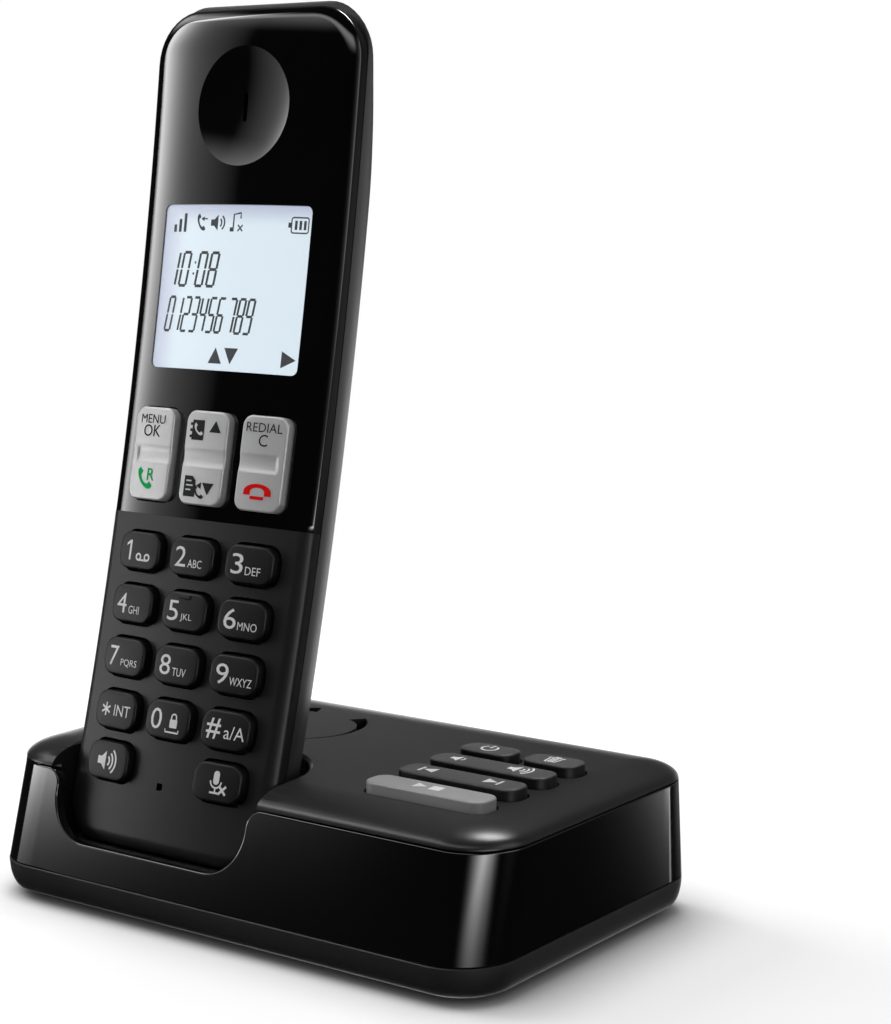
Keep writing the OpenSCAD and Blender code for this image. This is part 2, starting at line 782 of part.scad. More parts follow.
module handset_front_cover() color([0.16, 0.16, 0.17])
    in_cradle()
        difference() {
            union() {
                difference() {
                    intersection() {
                        handset_block(0);
                        depth_zone(-2, seam_depth);
                    }
                    cavity();
                    intersection() {
                        fascia_prism(0);
                        bowed()
                            difference() {
                                translate([-far, -far]) square([far + fascia_skirt + fit_gap, 2 * far]);
                                section_2d(fascia_t + fit_gap);
                            }
                    }
                }
                at_cover_screws()
                    translate([0, 0, cover_wall - 0.3]) cylinder(r = boss_r, h = boss_end - cover_wall + 0.3);
            }
            key_openings();
            rocker_openings();
            display_opening(fit_gap);
            on_front(0, dish_v) rotate([-90, 0, 0]) cylinder(r = dish_r + 1.4, h = 10);
            on_front(mic_u, mic_v) cube([1.3, 12, 1.3], center = true);
            at_cover_screws() translate([0, 0, boss_end - 6]) cylinder(r = screw_r, h = far);
        }

module handset_fascia() color("black")
    in_cradle()
        difference() {
            union() {
                intersection() {
                    fascia_prism(fit_gap);
                    bowed() skin_2d(fascia_t);
                }
                on_front(0, dish_v)
                    rotate([-90, 0, 0]) translate([0, 0, fascia_t / 2]) cylinder(r = dish_r + 1.2, h = 2);
            }
            rocker_openings();
            display_opening(fit_gap);
            on_front(0, dish_v) translate([0, dish_depth - dish_ball_r, 0]) sphere(dish_ball_r, $fn = 128);
            on_front(0, dish_v) front_bar(1.2, 5.2, 0.5, 6, 6);
        }

module display_window() color([0.8, 0.9, 0.95, 0.5])
    in_cradle() on_front(0, display_v) front_bar(display_w, display_h, 2.4, -0.3, 1.3);

module display_module() color("lightsteelblue")
    in_cradle() on_front(0, display_v) front_bar(display_w, display_h, 2.4, -1.5, card_depth - 0.3);

module handset_circuit_board() color("green")
    in_cradle()
        difference() {
            intersection() {
                depth_zone(card_depth, card_back);
                translate([-card_w / 2, -far / 2, card_foot])
                    cube([card_w, far, display_v + display_h / 2 + 3 - card_foot]);
            }
            at_cover_screws() cylinder(r = boss_r + loose_gap, h = boss_end);
        }

module keypad_mat() color("gray")
    in_cradle()
        difference() {
            intersection() {
                depth_zone(mat_depth, mat_depth + mat_t);
                translate([-column_pitch - digit_w / 2 - 1, -far / 2, mic_v - mic_r])
                    cube([2 * column_pitch + digit_w + 2, far, mat_h]);
            }
            on_front(mic_u, mic_v) rotate([-90, 0, 0]) cylinder(r = mic_r + 0.4, h = 12, center = true);
            at_cover_screws() cylinder(r = boss_r + loose_gap, h = boss_end);
        }

module earpiece() color("darkgray")
    in_cradle()
        on_front(0, dish_v)
            rotate([-90, 0, 0]) translate([0, 0, fascia_t / 2 + 2]) cylinder(r = dish_r, h = earpiece_t);

module microphone() color("dimgray")
    in_cradle()
        on_front(mic_u, mic_v)
            rotate([-90, 0, 0])
                translate([0, 0, cover_wall + fit_gap])
                    cylinder(r = mic_r, h = card_depth - cover_wall - 3 * fit_gap);

module handset_loudspeaker() color("darkslategray")
    in_cradle()
        on_front(0, ringer_v)
            rotate([-90, 0, 0])
                translate([0, 0, handset_t - cover_wall - ringer_t - fit_gap])
                    cylinder(r = ringer_r, h = ringer_t);

// The door over the cells, as a prism seen from the back
module door_prism(gap) {
    translate([0, 0, cell_mid_v])
        rotate([90, 0, 0])
            mirror([0, 0, 1])
                linear_extrude(far) round_rect(door_w - 2 * gap, door_h - 2 * gap, 4);
}

module handset_back_cover() color([0.2, 0.2, 0.21])
    in_cradle()
        difference() {
            union() {
                difference() {
                    intersection() {
                        handset_block(0);
                        depth_zone(seam_depth + seam_gap, 2 * handset_t);
                    }
                    cavity();
                }
                intersection() {
                    at_cover_screws()
                        translate([0, 0, boss_end + fit_gap])
                            cylinder(r = sleeve_r, h = handset_t - cover_wall - boss_end);
                    handset_block(cover_wall / 2);
                }
            }
            intersection() {
                door_prism(0);
                depth_zone(handset_t / 2, far);
            }
            for (z = [-2 : 2])
                on_front(0, ringer_v + z * 2.6)
                    translate([0, handset_t, 0]) cube([12 - abs(z) * 2, 8, 1.2], center = true);
            for (k = CONTACTS)
                translate([k[1] * contact_pitch / 2, contact_depth, 0])
                    cube([plate_w + fit_gap, plate_d + fit_gap, 2 * plate_sink], center = true);
            at_cover_screws() cylinder(r = screw_r + fit_gap, h = far);
            at_cover_screws() translate([0, 0, boss_end + 1]) cylinder(r = head_r + fit_gap, h = far);
        }

module handset_screws() color("silver")
    in_cradle()
        at_cover_screws() translate([0, 0, boss_end + 1 + head_t]) mirror([0, 0, 1]) screw(6);

module charge_plates() color("gold")
    in_cradle()
        for (k = CONTACTS)
            translate([k[1] * contact_pitch / 2, contact_depth, plate_sink - plate_t / 2])
                cube([plate_w, plate_d, plate_t], center = true);

module battery_door() color([0.2, 0.2, 0.21])
    in_cradle()
        intersection() {
            bowed()
                difference() {
                    intersection() {
                        section_2d(0);
                        translate([handset_t / 2, -far]) square([far, 2 * far]);
                    }
                    section_2d(door_t);
                }
            door_prism(loose_gap);
        }

module battery_cells() color("steelblue")
    in_cradle()
        on_front(0, cell_mid_v)
            for (s = [-1, 1])
                translate([s * cell_u, cell_depth, -cell_l / 2]) {
                    cylinder(r = cell_d / 2, h = cell_l - 1);
                    cylinder(r = 1.9, h = cell_l);
                }

// Springy end plates that stand on the board at both ends of each cell
module battery_contacts() color("silver")
    in_cradle()
        on_front(0, cell_mid_v)
            for (s = [-1, 1], end = [-1, 1])
                translate([s * cell_u - 4, card_back + fit_gap, end * (cell_l / 2 + 0.35) - 0.25])
                    cube([8, cell_depth + 4 - card_back, 0.5]);

// Cap with a stop flange under the front cover
module front_key(w, h, r, proud) {
    front_bar(w, h, r, proud, cover_wall + 0.2 + slice);
    translate([0, cover_wall + 0.2, 0]) front_bar(w + 2 * key_lip, h + 2 * key_lip, r, 0, key_lip_t);
}

module number_key(column, row) color([0.18, 0.18, 0.19])
    in_cradle()
        on_front(column * column_pitch, digit_v(row)) front_key(digit_w, digit_h, digit_r, digit_proud);

module call_key(column) color([0.18, 0.18, 0.19])
    in_cradle() on_front(column * column_pitch, call_row_v) front_key(digit_w, digit_h, digit_r, digit_proud);

// Rocker cap with a finger groove across its middle and a fulcrum behind it
module rocker_key(column) color("silver")
    in_cradle()
        on_front(column * column_pitch, rocker_v)
            difference() {
                union() {
                    front_bar(rocker_w, rocker_h, 1.3, rocker_proud, cover_wall + 0.6);
                    front_bar(rocker_w - 2, 2, 0.5, 0, mat_depth - loose_gap);
                }
                translate([0, -rocker_proud - 0.5, 0])
                    rotate([0, 90, 0]) cylinder(r = 0.9, h = 2 * rocker_w, center = true);
            }

base_plinth();
base_feet();
base_band();
base_rear_panel();
base_deck();
base_screws();
base_circuit_board();
base_key_mat();
loudspeaker();
line_socket();
power_socket();
play_stop_key();
skip_key();
volume_key();
handset_front_cover();
handset_fascia();
display_window();
display_module();
handset_circuit_board();
keypad_mat();
earpiece();
microphone();
handset_loudspeaker();
handset_back_cover();
handset_screws();
charge_plates();
battery_door();
battery_cells();
battery_contacts();
for (k = SHORT_KEYS) short_key(k[1]);
for (k = CONTACTS) charge_contact(k[1]);
for (k = ROCKER_KEYS) rocker_key(k[1]);
for (k = NUMBER_KEYS) number_key(k[1], k[2]);
for (k = CALL_KEYS) call_key(k[1]);
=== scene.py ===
"""A cordless telephone standing in the cradle of its base station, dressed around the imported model.

Lengths are written in millimetres and become metres where a mesh is made; shaders count in metres.
"""

import bmesh
import bpy
import numpy as np
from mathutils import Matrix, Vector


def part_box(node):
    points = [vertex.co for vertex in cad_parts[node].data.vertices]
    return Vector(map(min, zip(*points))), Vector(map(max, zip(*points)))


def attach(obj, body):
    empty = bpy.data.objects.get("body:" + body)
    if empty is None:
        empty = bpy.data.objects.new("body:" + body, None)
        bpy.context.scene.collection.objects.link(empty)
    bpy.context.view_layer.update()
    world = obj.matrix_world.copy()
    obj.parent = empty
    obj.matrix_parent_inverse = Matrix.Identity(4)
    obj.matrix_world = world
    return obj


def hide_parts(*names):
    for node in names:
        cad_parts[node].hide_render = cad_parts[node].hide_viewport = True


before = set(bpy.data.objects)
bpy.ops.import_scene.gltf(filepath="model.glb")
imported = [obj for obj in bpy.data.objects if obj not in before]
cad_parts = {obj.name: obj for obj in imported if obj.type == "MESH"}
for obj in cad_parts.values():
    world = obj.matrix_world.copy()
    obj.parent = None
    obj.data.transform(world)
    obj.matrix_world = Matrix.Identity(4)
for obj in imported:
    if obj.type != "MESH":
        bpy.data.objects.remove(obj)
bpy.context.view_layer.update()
scene = bpy.context.scene
scene.view_settings.view_transform = "Standard"


# Camera
# Stands where the photograph was taken from: a long lens, a little above the base and to the right of its front.
def placed(name, data):
    """A new object of the scene that holds this data."""
    made = bpy.data.objects.new(name, data)
    scene.collection.objects.link(made)
    return made


eye = bpy.data.cameras.new("camera")
eye.sensor_width, eye.lens, eye.clip_start = 36, 80.397, 0.01
camera = placed("camera", eye)
camera.location = (0.25209, -0.31525, 0.13167)
camera.rotation_euler = np.radians((81.479, 0, 35.870))
scene.camera = camera


# Floor
# A sheet of white paper under and behind the telephone: plain white far off, with the soft shadow close by, cast by
# the lamps and painted darker right round the base.
# From below it is clear, so that the feet and screws can be looked at.
class Wire:
    """A socket of a shader with arithmetic: each operator adds the Math node that works it out."""

    def __init__(self, tree, socket=None):
        self.tree, self.socket = tree, socket

    def node(self, kind, settings=(), sockets=(), out=0):
        """Adds a node of this kind, makes its settings, fills its sockets with values or wires, gives one output."""
        made = self.tree.nodes.new("ShaderNode" + kind)
        for name, value in dict(settings).items():
            setattr(made, name, value)
        for name, value in dict(sockets).items():
            if isinstance(value, Wire):
                self.tree.links.new(value.socket, made.inputs[name])
            else:
                made.inputs[name].default_value = value
        return Wire(self.tree, made.outputs[out]) if len(made.outputs) else None

    def math(self, operation, other, swapped=False):
        """The Math node of an operation on this wire and another value, in this order or swapped."""
        pair = (other, self) if swapped else (self, other)
        return self.node("Math", {"operation": operation}, dict(enumerate(pair)))

    def __add__(self, other):
        return self.math("ADD", other)

    def __sub__(self, other):
        return self.math("SUBTRACT", other)

    def __rsub__(self, other):
        return self.math("SUBTRACT", other, True)

    def __mul__(self, other):
        return self.math("MULTIPLY", other)

    def __pow__(self, other):
        return self.math("POWER", other)

    __radd__, __rmul__ = __add__, __mul__


def empty_material(name):
    """A material with no nodes yet, and a wire into its tree."""
    made = bpy.data.materials.new(name)
    made.use_nodes = True
    made.node_tree.nodes.clear()
    return made, Wire(made.node_tree)


def ramp(wire, start, end, low=0.0, high=1.0, kind="SMOOTHSTEP"):
    """A step of a value, smooth or LINEAR: low up to start, high from end on."""
    return wire.node("MapRange", {"interpolation_type": kind},
                     {"Value": wire, "From Min": start, "From Max": end, "To Min": low, "To Max": high})


def part(vector, axis):
    """One part of a vector: X, Y or Z."""
    return vector.node("SeparateXYZ", (), {"Vector": vector}, out=axis)


def mixed(share, low, high):
    """The colour that lies a share of the way from low to high."""
    return share.node("Mix", {"data_type": "RGBA"}, {0: share, 6: low, 7: high}, out=2)


def show(shader):
    """Makes a shader the surface of its material."""
    shader.node("OutputMaterial", (), {"Surface": shader})


def seen_rays(wire):
    """1 for what the camera sees, straight or through a gloss or a clear piece, 0 for light that scatters."""
    shares = [wire.node("LightPath", out=name) for name in ("Is Camera Ray", "Is Glossy Ray", "Is Transmission Ray")]
    return shares[0].math("MAXIMUM", shares[1]).math("MAXIMUM", shares[2])


def make(name, shape, material=None, turn_out=True):
    """A mesh object from points in mm and faces, with its faces turned outwards where the shape is closed."""
    points, faces = shape
    mesh = bpy.data.meshes.new(name)
    mesh.from_pydata((np.asarray(points) * MM).tolist(), [], faces)
    if turn_out:
        work = bmesh.new()
        work.from_mesh(mesh)
        bmesh.ops.remove_doubles(work, verts=work.verts, dist=1e-7)
        bmesh.ops.recalc_face_normals(work, faces=work.faces)
        work.to_mesh(mesh)
        work.free()
    if material:
        mesh.materials.append(material)
    return placed(name, mesh)


MM, FLOOR_HALF = 0.001, 6000
WHITE, PAPER_WHITE, PAINTED_SHADE_GREY, PAPER_GLOW = (1, 1, 1, 1), (0.95, 0.95, 0.95, 1), (0.4, 0.4, 0.4, 1), 0.18
FOOT_X, FOOT_Y, FOOT_R, SHADOW_TRAIL = 0.0435, 0.0225, 0.01, 0.12
paper, wire = empty_material("floor_paper")
spot = wire.node("TexCoord", out="Object")
reach = wire.node("VectorMath", {"operation": "LENGTH"}, {0: spot}, out="Value")
seen = seen_rays(wire)
beside, before = ((part(spot, axis).math("ABSOLUTE", 0) - run).math("MAXIMUM", 0)
                  for axis, run in (("X", FOOT_X), ("Y", FOOT_Y)))
off_base = (beside ** 2 + before ** 2) ** 0.5 - FOOT_R
# Painted shadow: the paper's colour is painted darker under and just round the base's footprint, and it is this
# darker grey everywhere for scattered light.
tint = mixed(seen * ramp(off_base, -0.003, 0.006), PAINTED_SHADE_GREY, PAPER_WHITE)
soft = wire.node("BsdfDiffuse", (), {"Color": tint})
# The camera glow fades out near the base too, which leaves a painted contact shadow there.
glow = wire.node("Emission", (), {"Color": WHITE, "Strength": PAPER_GLOW * seen * ramp(off_base, -0.004, 0.018)})
near = wire.node("AddShader", (), {0: soft, 1: glow})
plain = wire.node("Emission", (), {"Color": WHITE, "Strength": 1.0})
far = ramp(reach - SHADOW_TRAIL * ramp(part(spot, "X"), 0.02, 0.1), 0.14, 0.4) * seen
top_side = wire.node("MixShader", (), {0: far, 1: near, 2: plain})
below = wire.node("NewGeometry", out="Backfacing")
show(wire.node("MixShader", (), {0: below, 1: top_side, 2: wire.node("BsdfTransparent")}))
corners = FLOOR_HALF * np.array([(-1, -1, 0), (1, -1, 0), (1, 1, 0), (-1, 1, 0)])
floor = make("floor", (corners, [(0, 1, 2, 3)]), paper, turn_out=False)
floor.visible_glossy = False

# Light
# A plain white room with one large soft lamp overhead and a second, weaker one high on the left.
scene.world = bpy.data.worlds.new("room")
scene.world.use_nodes = True
scene.world.node_tree.nodes.clear()
wire = Wire(scene.world.node_tree)
ROOM_LEVEL, AIM_Z = 0.28, 0.05
strength = seen_rays(wire) * (1 - ROOM_LEVEL) + ROOM_LEVEL
wire.node("OutputWorld", (), {"Surface": wire.node("Background", (), {"Color": WHITE, "Strength": strength})})
for name, place, size, power in (("lamp_top", (-0.25, 0.1, 1.1), 0.9, 7.5), ("lamp_left", (-0.9, 0, 0.6), 0.6, 5)):
    lamp = bpy.data.lights.new(name, "AREA")
    lamp.size, lamp.energy = size, power
    stand = placed(name, lamp)
    stand.location = place
    x, y, z = np.array(place) - (0, 0, AIM_Z)
    stand.rotation_euler = np.arctan2(np.hypot(x, y), z), 0, np.arctan2(y, x) + np.pi / 2
    stand.visible_glossy = False

# Tent
# Black cloth round the set, as for photographing polished things: only gloss shows it, with its soft white windows.
# Directions are in degrees: azimuth from the front towards the right, elevation upwards.
TENT_R, TENT_DIM, TURNS, RISES = 600, 0.012, 48, 24
cloth, wire = empty_material("tent_cloth")
way = wire.node("VectorMath", {"operation": "NORMALIZE"}, {0: wire.node("TexCoord", out="Object")})
east, north, up = (part(way, axis) for axis in "XYZ")
azimuth = east.math("ARCTAN2", 0 - north) * np.degrees(1)
elevation = up.math("ARCSINE", 0) * np.degrees(1)
side = ramp(azimuth, -43, -60, kind="LINEAR")
fade = ramp(azimuth, -46, -36, 0.25, -3.1, "LINEAR")
turned = (-45 - azimuth).math("MAXIMUM", 0)
low_left = 4.7 * (fade + 0.54 * (elevation + 0.2 * turned - 7.3)).math("EXPONENT", 0)
low_front = 7.6 * (0.42 * (elevation - 6.5)).math("EXPONENT", 0)
low_right = 0.52 * (1.35 * (azimuth - 146.1) + 0.45 * (elevation + 13)).math("EXPONENT", 0)
front_span = (ramp(azimuth, 18, 56) * ramp(azimuth, 84, 64)) ** 2
behind = ramp(azimuth, 150, 175) + ramp(azimuth, -160, -178)
overhead = ramp((azimuth + 30).math("ABSOLUTE", 0), 80, 55)
left_edge = ramp(azimuth + 0.11 * (elevation - 14), -59.7, -58.9)
rear_left = ramp(azimuth, -105, -125) * ramp(azimuth, -154, -140, 0.4)
windows = [
    (1.7 * side + 11.6 * side ** 8) * left_edge * ramp(elevation, 9.5, 12.5) * ramp(elevation, 60, 45),
    low_left.math("MINIMUM", 9.0) * ramp(azimuth, -70.6, -70) * ramp(azimuth, -30, -38) * ramp(elevation, 11, 9),
    low_front.math("MINIMUM", 11.0) * front_span * ramp(elevation, 15, 11.5),
    1.9 * ramp(azimuth, 22, 100) ** 2 * ramp(azimuth, 125, 108) * ramp(elevation, 10, 14) * ramp(elevation, 60, 40),
    low_right.math("MINIMUM", 6.0) * ramp(azimuth, 149, 147.2) * ramp(elevation, -4, -8),
    0.25 * ramp(azimuth, 80, 105) * ramp(elevation, -8, 4) * ramp(elevation, 22, 8, 0.45),
    0.2 * rear_left * ramp(elevation, 9, 2, 0.6, 12.0) + 0.4 * behind * ramp(elevation, 30, 5),
    26.0 * ramp(azimuth.math("ABSOLUTE", 0), 145, 162) * ramp(elevation, 56, 64) * ramp(elevation, 80, 72),
    3.4 * ramp(elevation, 32, 45) * ramp(elevation, 58, 48) * overhead,
]
show(wire.node("Emission", (), {"Strength": sum(windows[1:], windows[0]) + TENT_DIM}))
cloth.cycles.emission_sampling = "NONE"


def coords(*parts):
    """Points from their coordinates, each a number or an array."""
    return np.stack(np.broadcast_arrays(*parts), -1)


def loft(rings, closed=True, caps=(True, True)):
    """Points and faces of a skin through rings of equal length; a face may close the first and the last ring."""
    rings = np.asarray(rings, float)
    n, m = rings.shape[:2]
    i, j = np.arange(n - 1)[:, None] * m, np.arange(m if closed else m - 1)[None]
    k = (j + 1) % m
    faces = np.stack([i + j, i + k, i + m + k, i + m + j], -1).reshape(-1, 4).tolist()
    faces += [list(range(m))[::-1]] * (closed and caps[0]) + [list(range((n - 1) * m, n * m))] * (closed and caps[1])
    return rings.reshape(n * m, -1), faces


turn, tilt = np.linspace(0, 2 * np.pi, TURNS + 1), np.linspace(-np.pi / 2, np.pi / 2, RISES + 1)[:, None]
globe = TENT_R * coords(np.cos(tilt) * np.cos(turn), np.cos(tilt) * np.sin(turn), np.sin(tilt))
tent = make("tent", loft(globe, closed=False), cloth, turn_out=False)
tent.visible_camera = tent.visible_diffuse = tent.visible_transmission = tent.visible_shadow = False

# Base plinth
# The lower moulding of the base: matte black plastic that curves in towards the floor, moulded in one shot.
BASE_W, BASE_D, CORNER_R, REAR_R = 110.8, 69.4, 10.5, 8.2
SEAM_Z, BAND_TOP_Z, DECK_Z, GAP = 6.5, 24.4, 27.8, 0.15
FRONT_SLOPE, SIDE_SLOPE, BACK_SLOPE = np.tan(np.radians((14.3, 1.4, 2.6)))
POSTS = [(x, y) for x in (-48.36, 48.36) for y in (-22.94, 25.7)]


def rounded(x0, x1, y0, y1, radius, arc=12, run=16):
    """Points anticlockwise round a rectangle: quarter circles of arc steps, and run steps along each side."""
    r = np.minimum(np.broadcast_to(radius, 4), 0.49 * min(x1 - x0, y1 - y0))
    cx = np.array([x1, x0, x0, x1]) + r * [-1, 1, 1, -1]
    cy = np.array([y1, y1, y0, y0]) + r * [-1, -1, 1, 1]
    a = np.linspace(0, np.pi / 2, arc + 1)[None] + np.arange(4)[:, None] * np.pi / 2
    arcs = coords(cx[:, None] + r[:, None] * np.cos(a), cy[:, None] + r[:, None] * np.sin(a))
    t = (np.arange(1, run) / run)[None, :, None]
    runs = arcs[:, -1:] * (1 - t) + np.roll(arcs[:, :1], -1, axis=0) * t
    return np.concatenate([arcs, runs], 1).reshape(-1, 2)


def lift(outline, z):
    """A flat outline at a height, as points in space."""
    return np.insert(outline, 2, z, axis=1)


def base_ring(inset, z, level):
    """The base's outline, set at z: a rounded rectangle that leans in by the draft up to a level, less an inset."""
    h = level - SEAM_Z
    x = BASE_W / 2 - h * SIDE_SLOPE - inset
    front, back = -BASE_D / 2 + h * FRONT_SLOPE + inset, BASE_D / 2 - h * BACK_SLOPE - inset
    radius = np.maximum(np.array([REAR_R, REAR_R, CORNER_R, CORNER_R]) - inset, 0.2)
    return lift(rounded(-x, x, front, back, radius), z)


def together(*shapes):
    """Several shapes, each points and faces, as one."""
    starts = np.cumsum([0] + [len(points) for points, _ in shapes])
    faces = [[v + start for v in face] for start, (_, faces) in zip(starts, shapes) for face in faces]
    return np.concatenate([points for points, _ in shapes]), faces


def result(piece):
    """The mesh that Blender makes of an object with its modifiers."""
    bpy.context.view_layer.update()
    return bpy.data.meshes.new_from_object(piece.evaluated_get(bpy.context.evaluated_depsgraph_get()))


def modify(piece, kind, **settings):
    """Gives a piece a modifier, and puts what that makes into the piece's own mesh."""
    tool = piece.modifiers.new(kind.lower(), kind)
    for name, value in settings.items():
        setattr(tool, name, value)
    shape = result(piece)
    piece.modifiers.clear()
    piece.data = shape


def cut(piece, shape):
    """Takes the room of a closed shape out of a piece."""
    cutter = make("cutter", shape)
    modify(piece, "BOOLEAN", operation="DIFFERENCE", solver="EXACT", object=cutter)
    bpy.data.objects.remove(cutter)


def finish_piece(piece, body, node, edge=0.0, steps=2, angle=32):
    """Rounds sharp edges by edge mm, shades smooth up to an angle, ties the piece to its body and hides the CAD node
    it stands for.
    """
    limit = np.radians(angle)
    if edge:
        modify(piece, "BEVEL", width=edge * MM, segments=steps, limit_method="ANGLE", angle_limit=limit)
    piece.data.shade_smooth()
    piece.data.set_sharp_from_angle(angle=limit)
    if edge:
        modify(piece, "WEIGHTED_NORMAL", keep_sharp=True)
    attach(piece, body)
    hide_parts(node)


def plastic(name, colour, roughness, grain=0.3, depth=0.004, drift=0.1, shine=0.5, metal=0.0, top=None):
    """Moulded plastic: a tool grain of a size and depth in mm, and a colour and gloss that drift over centimetres.
    A top gives a paler colour above a height in mm: a painted highlight on the upper faces, as if lit from above."""
    made, wire = empty_material(name)
    place = wire.node("TexCoord", out="Object")
    broad = wire.node("TexNoise", (), {"Vector": place, "Scale": 45.0, "Detail": 3.0})
    fine = wire.node("TexNoise", (), {"Vector": place, "Scale": 1000.0 / grain, "Detail": 2.0})
    low, high = (tuple(np.array(colour) * k) + (1,) for k in (1 - drift, 1 + drift))
    tint = mixed(broad, low, high)
    if top:
        # Painted highlight: faces above the given height take the paler top colour.
        painted_top_light = ramp(part(place, "Z"), (top[1] - 0.15) * MM, top[1] * MM)
        tint = mixed(painted_top_light, tint, tuple(top[0]) + (1,))
    rough = roughness * (0.85 + 0.2 * broad + 0.1 * fine)
    bump = wire.node("Bump", (), {"Strength": 1.0, "Distance": depth * MM, "Height": fine})
    sockets = {"Base Color": tint, "Roughness": rough, "Normal": bump, "Specular IOR Level": shine, "Metallic": metal}
    show(wire.node("BsdfPrincipled", (), sockets))
    return made


plinth_matte = plastic("plinth_matte", (0.016, 0.016, 0.0165), 0.5)
TUCK, FALL, SEAM_EDGE, SCREW_R = 2.3, 5.38, 0.12, 2.4
side = [(0.9, SEAM_Z), (SEAM_EDGE, SEAM_Z)]
side += [(TUCK * (1 - np.sqrt(1 - s * s)), SEAM_Z - SEAM_EDGE - s * FALL) for s in np.linspace(0, 1, 14)] + [(6, 1.0)]
plinth = make("plinth_shell", loft([base_ring(i, z, SEAM_Z) for i, z in side[::-1]]), plinth_matte)
counterbore = rounded(-SCREW_R, SCREW_R, -SCREW_R, SCREW_R, SCREW_R, 8, 1)
cut(plinth, together(*[loft([lift(counterbore + p, z) for z in (0.5, 3.2)]) for p in POSTS]))
finish_piece(plinth, "base", "base_plinth")

# Feet and screws of the base
# Rubber feet glued into the floor of the plinth, and steel screws sunk in its holes.
rubber = plastic("foot_rubber", (0.018, 0.018, 0.018), 0.75, 0.5, 0.01)
steel = plastic("screw_steel", (0.45, 0.45, 0.44), 0.35, 0.4, 0.003, metal=1.0)


def dress(material, *nodes):
    """Gives CAD nodes that stay in sight their finish."""
    for name in nodes:
        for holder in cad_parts[name].material_slots:
            holder.material = material


dress(rubber, "base_feet")
dress(steel, "base_screws")

# Gloss band
# Polished black plastic round the front and sides of the base, clipped in between plinth and deck.
# Its low window is where the handset stands.
band_gloss = plastic("band_gloss", (0.004, 0.004, 0.0045), 0.07, 1.2, 0.0006, 0.3)
REAR_SPLIT_Y, BAND_WALL, RIM_R, RIM_FROM = 28.7, 2.0, 0.3, 0.36
HANDSET_X, WINDOW_HALF, WINDOW_R, FLARE_R, LIP_Z = -17.9, 22.45, 8.3, 3.0, 12.5


def on_wall(x, y, z):
    """Carries a point of the outline at the seam up the leaning wall: runs shrink, corners keep their radius.
    Behind the rear corner's centre the side turns in on that corner's circle."""
    h = z - SEAM_Z
    half = BASE_W / 2 - CORNER_R
    cx = np.clip(x, -half, half)
    cy = np.maximum(y, -BASE_D / 2 + CORNER_R)
    share = np.clip((REAR_SPLIT_Y - cy) / (REAR_SPLIT_Y + BASE_D / 2 - CORNER_R), 0, 1)
    past = np.maximum(y - (BASE_D / 2 - h * BACK_SLOPE - REAR_R), 0)
    turned = REAR_R - np.sqrt(REAR_R ** 2 - past ** 2)
    across = cx * (half - h * SIDE_SLOPE) / half + x - cx - np.sign(x) * turned
    return coords(across, y + h * FRONT_SLOPE * share, z)


def arc(x, z, radius, start, end, steps):
    """Points on a circle between two angles in degrees."""
    a = np.radians(np.linspace(start, end, steps))
    return coords(x + radius * np.cos(a), z + radius * np.sin(a))


half = BASE_W / 2 - CORNER_R
front_y = -BASE_D / 2
left = HANDSET_X - WINDOW_HALF
window = np.concatenate([
    arc(left - FLARE_R, BAND_TOP_Z - FLARE_R, FLARE_R, 90, 0, 9),
    arc(left + WINDOW_R, LIP_Z + WINDOW_R, WINDOW_R, 180, 270, 17),
])
window = np.concatenate([window, (window * [-1, 1] + [2 * HANDSET_X, 0])[::-1]])
side_run = np.linspace(REAR_SPLIT_Y, front_y + CORNER_R, 24)
lead = np.concatenate([
    coords(-BASE_W / 2, side_run),
    arc(-half, front_y + CORNER_R, CORNER_R, 180, 270, 19)[1:-1],
    [[-half, front_y]],
])
tail = (lead * [-1, 1])[::-1]
fill = np.linspace(window[-1, 0], half, 14)[1:-1]
foot_line = np.concatenate([lead, coords(np.append(window[:, 0], fill), front_y), tail])
top_z = np.concatenate([np.full(len(lead), BAND_TOP_Z), window[:, 1], np.full(len(fill) + len(tail), BAND_TOP_Z)])
run = np.append(0, np.cumsum(np.hypot(*np.diff(foot_line, axis=0).T)))
along, rising = np.gradient(run), np.gradient(top_z)
into = coords(rising, -along) / np.hypot(along, rising)[:, None]
plan = np.gradient(foot_line, axis=0)
out = np.where(np.abs(foot_line[:, 1:] - front_y) < 1e-9, [0, -1], coords(plan[:, 1], -plan[:, 0]))
out = out / np.linalg.norm(out, axis=1)[:, None]
out = np.column_stack([out, np.abs(out) @ [SIDE_SLOPE, FRONT_SLOPE]])
out = out / np.linalg.norm(out, axis=1)[:, None]


def band_row(inset, depth, share=1.0):
    """A line along the band, a share of the way from its foot to its top edge, drawn in along and into the wall."""
    x = foot_line[:, 0] + into[:, 0] * inset * share
    z = (SEAM_Z + GAP) * (1 - share) + (top_z + into[:, 1] * inset) * share
    return on_wall(x, foot_line[:, 1], z) - depth * out


band_rows = [band_row(RIM_FROM, 0, share) for share in np.linspace(0.012, 1, 9)]
band_rows += [band_row(RIM_R * (1 - np.sin(a)), RIM_R * (1 - np.cos(a))) for a in np.linspace(0, np.pi / 2, 6)]
band_rows += [band_row(0, BAND_WALL), band_row(0, BAND_WALL, 0), band_row(0, 0.2, 0)]
band = make("gloss_band", loft(np.stack(band_rows, 1)), band_gloss)
finish_piece(band, "base", "base_band", angle=40)

